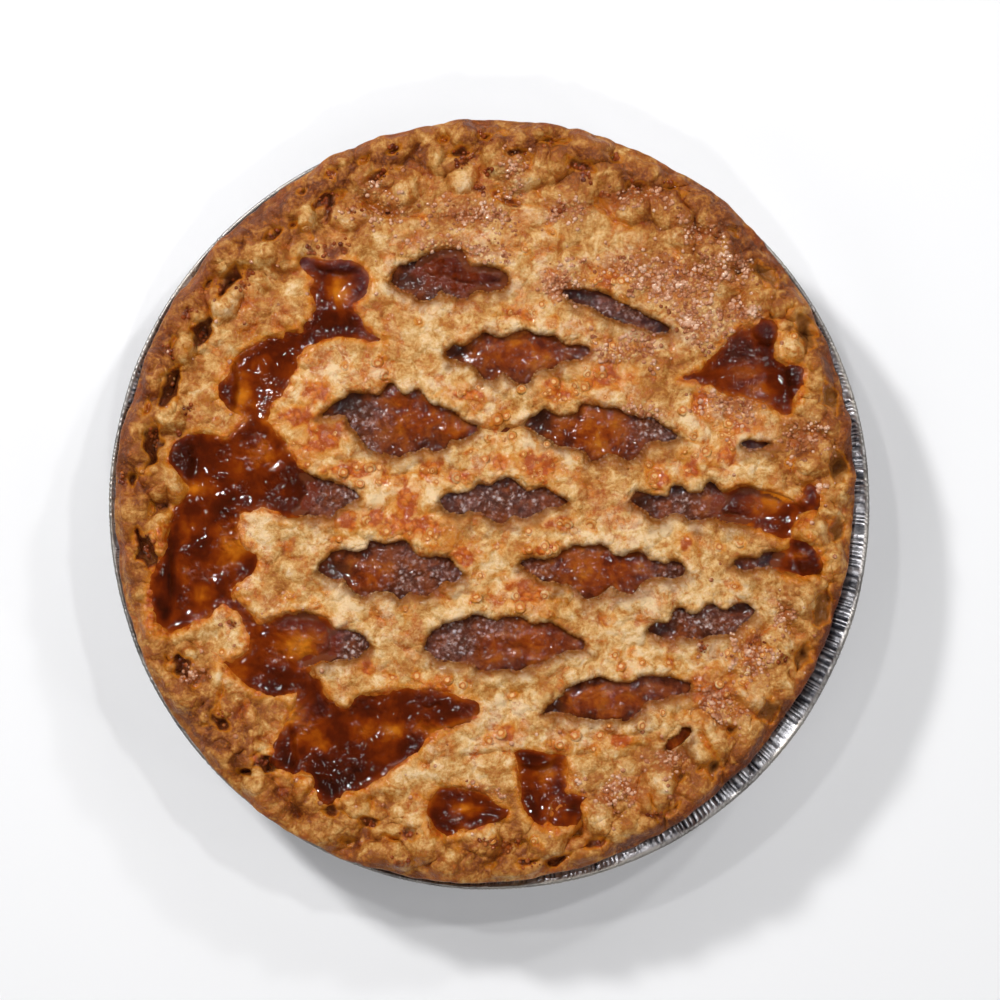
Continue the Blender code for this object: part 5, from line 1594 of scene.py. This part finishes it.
def makePan():
    shape = panShape
    outside, inside = panProfile()
    profile = np.array(outside + inside)
    turns = np.linspace(0.0, 2.0 * math.pi, shape["columns"], endpoint=False)
    grid = np.zeros((len(profile), len(turns), 3))
    bent = -shape["oval"] * np.cos(2.0 * turns)
    sway = 0.25 * mm * around(turns, 17.0 * mm, 71.0)
    for row, (radius, height, share, rolled) in enumerate(profile):
        lift = height / shape["rimHeight"]
        grid[row] = polar(radius + bent * lift + sway * lift * 0.6, turns, height)
        grid[row, :, 2] += sway * 0.5 * lift**3 * (height > 20.0 * mm)
    grid[:, :, 2] = np.minimum(grid[:, :, 2], shape["rimHeight"] + 0.2 * mm)
    steps = np.gradient(profile[:, :2], axis=0)
    press = np.column_stack([steps[:, 1], -steps[:, 0]])
    press /= np.linalg.norm(press, axis=1)[:, None]
    press[len(outside):] *= -1.0
    rows = np.arange(len(profile) * len(turns)).reshape(len(profile), -1)
    faces = [tris for upper, lower in zip(rows, rows[1:]) for tris in strip(upper, lower)]
    points = grid.reshape(-1, 3)
    # floor discs, on the outside and the inside, with an embossed ring
    total = len(points)
    for row, height, flip in ((0, 0.0, True), (len(profile) - 1, shape["foil"], False)):
        outer = rows[row]
        loop = points[outer][:, :2]
        inner = hexGrid(shape["floorRadius"] - 7.0 * mm, 4.0 * mm)
        flat, tris = fillBetween(loop, [], inner)
        radius = np.hypot(flat[:, 0], flat[:, 1])
        places = np.concatenate([outer, total + np.arange(len(inner))])
        emboss = np.zeros(len(radius))
        for edgeAt, sign in ((shape["ringRadius"], 1.0), (shape["ringRadius"] - shape["ringWidth"], -1.0)):
            emboss += sign * shape["ringHeight"] * smoothStep(edgeAt, edgeAt - shape["ringSlope"], radius)
        extra = np.column_stack([inner, height + emboss[len(outer):]])
        points = np.vstack([points, extra])
        faces.append(places[tris][:, ::-1] if flip else places[tris])
        total += len(inner)
    faces = np.vstack(faces)
    rest = len(points) - rows.size
    share, rolled = (np.concatenate([np.repeat(profile[:, column], len(turns)), np.zeros(rest)])
                     for column in (2, 3))
    pan = newPiece("foil_pan_shell", points, outward(points, faces), foilLook,
                   {"fluteShare": share, "rolled": rolled})
    pressed = pan.data.attributes.new("pressed", "FLOAT_VECTOR", "POINT")
    radial = np.stack([np.outer(press[:, 0], np.cos(turns)), np.outer(press[:, 0], np.sin(turns)),
                       np.outer(press[:, 1], np.ones(len(turns)))], axis=2).reshape(-1, 3)
    radial = np.vstack([radial, np.zeros((rest, 3))])
    pressed.data.foreach_set("vector", radial.astype(np.float32).ravel())
    return applyNodes(pan, flutesTree(), {
        "Flutes": float(shape["flutes"]), "Flute Depth": shape["fluteDepth"], "Unevenness": 1.0, "Seed": 4.0,
        "Material": foilLook})


pan = makePan()
print("pan built:", len(pan.data.polygons), "faces")

# Blisters, sugar and caramel beads, set out by a node tree


def surfaceFinder(pieces):
    points, faces, total = [], [], 0
    for piece in pieces:
        mesh = piece.data
        table = np.zeros((len(mesh.vertices), 3), np.float32)
        mesh.vertices.foreach_get("co", table.ravel())
        corners = np.zeros(len(mesh.polygons) * 3, np.int32)
        mesh.polygons.foreach_get("vertices", corners)
        points.append(table)
        faces.append(corners.reshape(-1, 3) + total)
        total += len(table)
    return BVHTree.FromPolygons(np.vstack(points).tolist(), np.vstack(faces).tolist())


doughFinder = surfaceFinder([lattice, rimPiece])


def ringFaces(rows, sides):
    # a fan round the top point, then rows of triangles between rings
    faces = [(0, 1 + side, 1 + (side + 1) % sides) for side in range(sides)]
    for row in range(rows):
        for side in range(sides):
            a, b = 1 + row * sides + side, 1 + row * sides + (side + 1) % sides
            faces += [(a, a + sides, b), (b, a + sides, b + sides)]
    return faces, 1 + rows * sides


def blisterMesh():
    # a low ring with a dimple, whose skirt goes under the dough
    profile = ((0.0, 0.55, 1.0), (0.26, 0.62, 1.0), (0.46, 0.92, 0.7), (0.62, 1.0, 0.4), (0.78, 0.72, 0.22),
               (0.95, 0.25, 0.06), (1.15, -0.5, 0.0))
    sides = 12
    points, ring = [(0.0, 0.0, profile[0][1] * blisterShape["height"])], [1.0]
    for radius, height, tone in profile[1:]:
        for side in range(sides):
            turn = 2.0 * math.pi * side / sides
            wide = radius * blisterShape["radius"]
            points.append((wide * math.cos(turn), wide * math.sin(turn), height * blisterShape["height"]))
            ring.append(tone)
    faces, last = ringFaces(len(profile) - 2, sides)
    faces += [(last, last + side + 1, last + side) for side in range(1, sides - 1)]
    return points, faces, ring


def settingTree():
    tree, source = geometryTree("setOnPoints", {
        "Stud": "Object", "Smallest": "Float", "Largest": "Float", "Wobble": "Float", "Seed": "Int",
        "Material": "Material"})
    stud = addNode(tree, "GeometryNodeObjectInfo", {"Object": source["Stud"]}, transform_space="ORIGINAL")
    facing = {"Vector": storedValue(tree, "facing", "FLOAT_VECTOR")}
    turned = addNode(tree, "FunctionNodeAlignRotationToVector", facing, axis="Z")

    def drawn(low, high):
        inputs = {2: low, 3: high, "Seed": source["Seed"]}
        return addNode(tree, "FunctionNodeRandomValue", inputs, data_type="FLOAT").outputs[1]

    twist = addNode(tree, "FunctionNodeAxisAngleToRotation", {"Angle": drawn(0.0, 6.28)})
    rotations = {0: turned.outputs[0], 1: twist.outputs[0]}
    both = addNode(tree, "FunctionNodeRotateRotation", rotations, rotation_space="LOCAL")
    size = times(tree, drawn(source["Smallest"], source["Largest"]), storedValue(tree, "size"))
    placed = addNode(tree, "GeometryNodeInstanceOnPoints", {
        "Points": source["Geometry"], "Instance": stud.outputs["Geometry"], "Rotation": both.outputs[0],
        "Scale": size})
    real = addNode(tree, "GeometryNodeRealizeInstances", {"Geometry": placed.outputs[0]})
    noise = addNode(tree, "ShaderNodeTexNoise", {"Scale": 700.0, "Detail": 1.0}).outputs["Color"]
    shift = drift(tree, noise, source["Wobble"])
    return finishTree(tree, real.outputs[0], shift, source["Material"])


def pointCarrier(name, spots, sink):
    # one point for each spot, on the dough below it
    places, normals, sizes = [], [], []
    for x, y, size in spots:
        hit = doughFinder.ray_cast(Vector((x, y, 0.08)), Vector((0.0, 0.0, -1.0)))
        if hit[0] is not None and hit[1].z > 0.5:
            places.append(hit[0] - hit[1] * sink)
            normals.append(hit[1])
            sizes.append(size)
    mesh = bpy.data.meshes.new(name)
    mesh.from_pydata(places, [], [])
    layer = mesh.attributes.new("facing", "FLOAT_VECTOR", "POINT")
    layer.data.foreach_set("vector", np.array(normals, np.float32).ravel())
    layer = mesh.attributes.new("size", "FLOAT", "POINT")
    layer.data.foreach_set("value", np.array(sizes, np.float32))
    carrier = bpy.data.objects.new(name, mesh)
    scene.collection.objects.link(carrier)
    return carrier


setting = settingTree()


def setOut(name, stud, spots, shape):
    # copies of the stud on the dough; the stud itself is then dropped
    made = applyNodes(pointCarrier(name, spots, shape["sink"]), setting, {
        "Stud": stud, "Wobble": shape["wobble"], "Smallest": shape["smallest"], "Largest": shape["largest"],
        "Seed": shape["seed"], "Material": stud.data.materials[0]})
    bpy.data.objects.remove(stud)
    return made


blisterPoints, blisterFaces, blisterRing = blisterMesh()
stud = newPiece("blister_shape", blisterPoints, blisterFaces, crustLook,
                {"ring": blisterRing, "browning": np.full(len(blisterPoints), 0.3),
                 "stain": np.full(len(blisterPoints), 0.25)})
blisters = setOut("crust_blisters", stud, blisterSet, blisterShape)
print("blisters set:", len(blisterSet))

sugarShape = {"radius": 0.62 * mm, "smallest": 0.5, "largest": 1.25, "seed": 9, "sink": 0.18 * mm,
              "wobble": 0.6 * mm, "clumps": 300, "perClump": 7, "spread": 1.35, "apart": 9.0 * mm}


def roundMesh(radius, sides, turns):
    # a small ball with rings of corners at the given angles from its top, flattened below
    points = [(0.0, 0.0, radius)]
    for number, turn in enumerate(turns):
        level, wide = radius * math.cos(math.radians(turn)), radius * math.sin(math.radians(turn))
        for side in range(sides):
            spin = 2.0 * math.pi * (side + 0.5 * (number % 2)) / sides
            points.append((wide * math.cos(spin), wide * math.sin(spin), level))
    points.append((0.0, 0.0, -0.8 * radius))
    faces, last = ringFaces(len(turns) - 1, sides)
    faces += [(last + side, len(points) - 1, last + (side + 1) % sides) for side in range(sides)]
    return points, faces


draws = np.random.default_rng(sugarShape["seed"])
weights = np.array([sizeX * sizeY for x, y, sizeX, sizeY in sugarPatches])
chosen = draws.choice(len(sugarPatches), sugarShape["clumps"], p=weights / weights.sum())
patches = np.array(sugarPatches)[chosen]
clumps = patches[:, :2] + draws.normal(size=(sugarShape["clumps"], 2)) * 0.6 * patches[:, 2:]
steps = draws.normal(size=(sugarShape["clumps"], sugarShape["perClump"], 2)) * sugarShape["spread"]
grainSpots = (clumps[:, None] + steps).reshape(-1, 2) * mm
stray = hexGrid(94.0 * mm, sugarShape["apart"])
stray = stray[np.hypot(*stray.T) > 62.0 * mm]
stray = stray + draws.normal(size=stray.shape) * 2.0 * mm
grainSpots = np.vstack([grainSpots, stray])
clear = outsideOpenings(grainSpots) & (syrupDepth(grainSpots, allSyrup) < 0.0)
grainSpots = grainSpots[clear & (np.hypot(*grainSpots.T) < 95.0 * mm)]
grainPoints, grainFaces = roundMesh(sugarShape["radius"], 6, (42.0, 85.0, 125.0))
stud = newPiece("grain_shape", grainPoints, grainFaces, sugarLook)
sugar = setOut("sugar_grains", stud, flat3(grainSpots, 1.0), sugarShape)
print("sugar set:", len(sugar.data.polygons), "faces")

# Beads of dark caramel in the pockets of the rim and in the caramel spots

beadShape = {"radius": 0.7 * mm, "smallest": 0.4, "largest": 1.2, "seed": 21, "sink": 0.15 * mm,
             "wobble": 0.5 * mm, "perPocket": 9, "perSpot": 8}
draws = np.random.default_rng(beadShape["seed"])
beadPlaces = []
for angle, radius, along, across, deep in pockets:
    turn = math.radians(angle)
    if math.cos(turn) > 0.6:
        continue
    for step in draws.normal(size=(beadShape["perPocket"], 2)) * 0.45:
        away, aside = radius + step[0] * across, step[1] * along
        beadPlaces.append((away * math.cos(turn) - aside * math.sin(turn),
                           away * math.sin(turn) + aside * math.cos(turn), 1.0))
for x, y, sizeX, sizeY in caramelSpots:
    for step in draws.normal(size=(beadShape["perSpot"], 2)) * 0.6:
        beadPlaces.append((x + step[0] * sizeX, y + step[1] * sizeY, 0.9))
beadPlaces = np.array(beadPlaces) * (mm, mm, 1.0)
beadPlaces = beadPlaces[outsideOpenings(beadPlaces) & (syrupDepth(beadPlaces, allSyrup) < 0.5 * mm)]
studPoints, studFaces = roundMesh(beadShape["radius"], 7, (40.0, 80.0, 120.0))
stud = newPiece("bead_shape", studPoints, studFaces, caramelLook)
beads = setOut("caramel_beads", stud, beadPlaces, beadShape)
print("caramel beads set:", len(beads.data.polygons), "faces")

# Pieces ride on the root body, and the frame's own parts are hidden

for piece in (lattice, rimPiece, blisters, sugar, beads, filling, pan, *syrupPieces.values()):
    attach(piece, "root")
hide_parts("crust")
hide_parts("crust")
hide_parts("filling")
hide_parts("foil_pan")
for name, piece in syrupPieces.items():
    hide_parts(name)

# Floor, light and camera

studio = {
    "floorSize": 8.0, "floorColour": (0.86, 0.86, 0.87), "world": (0.97, 0.97, 1.0), "worldStrength": 0.075,
    "lights": {
        "key": {"place": (-0.62, 0.55, 0.8), "size": 0.26, "power": 1.2, "glossy": False},
        "keyGlint": {"place": (-0.6, 0.56, 0.8), "size": 0.12, "power": 6.8, "glossy": True},
        "glintBack": {"place": (0.55, 0.6, 0.8), "size": 0.08, "power": 1.7, "glossy": True},
        "above": {"place": (0.1, -0.15, 1.5), "size": 0.9, "power": 1.3, "glossy": False},
        "leftFront": {"place": (-0.55, -0.65, 0.8), "size": 0.5, "power": 1.2, "glossy": False},
        "right": {"place": (0.8, -0.15, 0.75), "size": 0.5, "power": 1.1, "glossy": False},
        "rightBack": {"place": (0.35, 0.8, 0.8), "size": 0.5, "power": 0.9, "glossy": False},
        "glintLeft": {"place": (-0.3, 0.35, 1.0), "size": 0.06, "power": 1.4, "glossy": True},
        "glintRight": {"place": (0.4, 0.3, 1.0), "size": 0.06, "power": 1.7, "glossy": True},
        "glintLow": {"place": (0.75, -0.5, 0.6), "size": 0.06, "power": 0.5, "glossy": True},
        "glintFront": {"place": (0.05, -0.5, 1.0), "size": 0.06, "power": 1.3, "glossy": True},
    },
}


def areaLight(name, place, size, power, glossy):
    data = bpy.data.lights.new(name, "AREA")
    data.shape = "DISK"
    data.size = size
    data.energy = power
    light = bpy.data.objects.new(name, data)
    light.location = place
    light.visible_glossy = glossy
    light.rotation_euler = (Vector((0.0, 0.0, 0.03)) - Vector(place)).to_track_quat("-Z", "Y").to_euler()
    scene.collection.objects.link(light)


half = 0.5 * studio["floorSize"]
floorMesh = bpy.data.meshes.new("floor")
floorMesh.from_pydata([(-half, -half, 0.0), (half, -half, 0.0), (half, half, 0.0), (-half, half, 0.0)], [],
                      [(0, 1, 2, 3)])
floorLook, floorTree, floorShader = newMaterial("paleFloor")[:3]
setInputs(floorTree, floorShader, {"Base Color": fullColour(studio["floorColour"]), "Roughness": 0.7})
floorMesh.materials.append(floorLook)
floor = bpy.data.objects.new("floor", floorMesh)
scene.collection.objects.link(floor)

world = bpy.data.worlds.new("studio")
world.use_nodes = True
background = world.node_tree.nodes["Background"]
background.inputs["Color"].default_value = fullColour(studio["world"])
background.inputs["Strength"].default_value = studio["worldStrength"]
scene.world = world
for name, light in studio["lights"].items():
    areaLight(name, light["place"], light["size"], light["power"], light["glossy"])

view = {"lens": 100.0, "sensor": 36.0, "distance": 0.738, "elevation": 86.0, "aim": (2.8 * mm, 0.7 * mm)}
cameraData = bpy.data.cameras.new("camera")
cameraData.lens = view["lens"]
cameraData.sensor_width = view["sensor"]
camera = bpy.data.objects.new("camera", cameraData)
aim = Vector((*view["aim"], panHigh.z))
tilt = math.radians(view["elevation"])
back = Vector((0.0, -math.cos(tilt), math.sin(tilt)))
camera.location = aim + back * view["distance"]
camera.rotation_mode = "QUATERNION"
camera.rotation_quaternion = (-back).to_track_quat("-Z", "Y")
scene.collection.objects.link(camera)
scene.camera = camera
scene.view_settings.view_transform = "Standard"
scene.view_settings.look = "None"
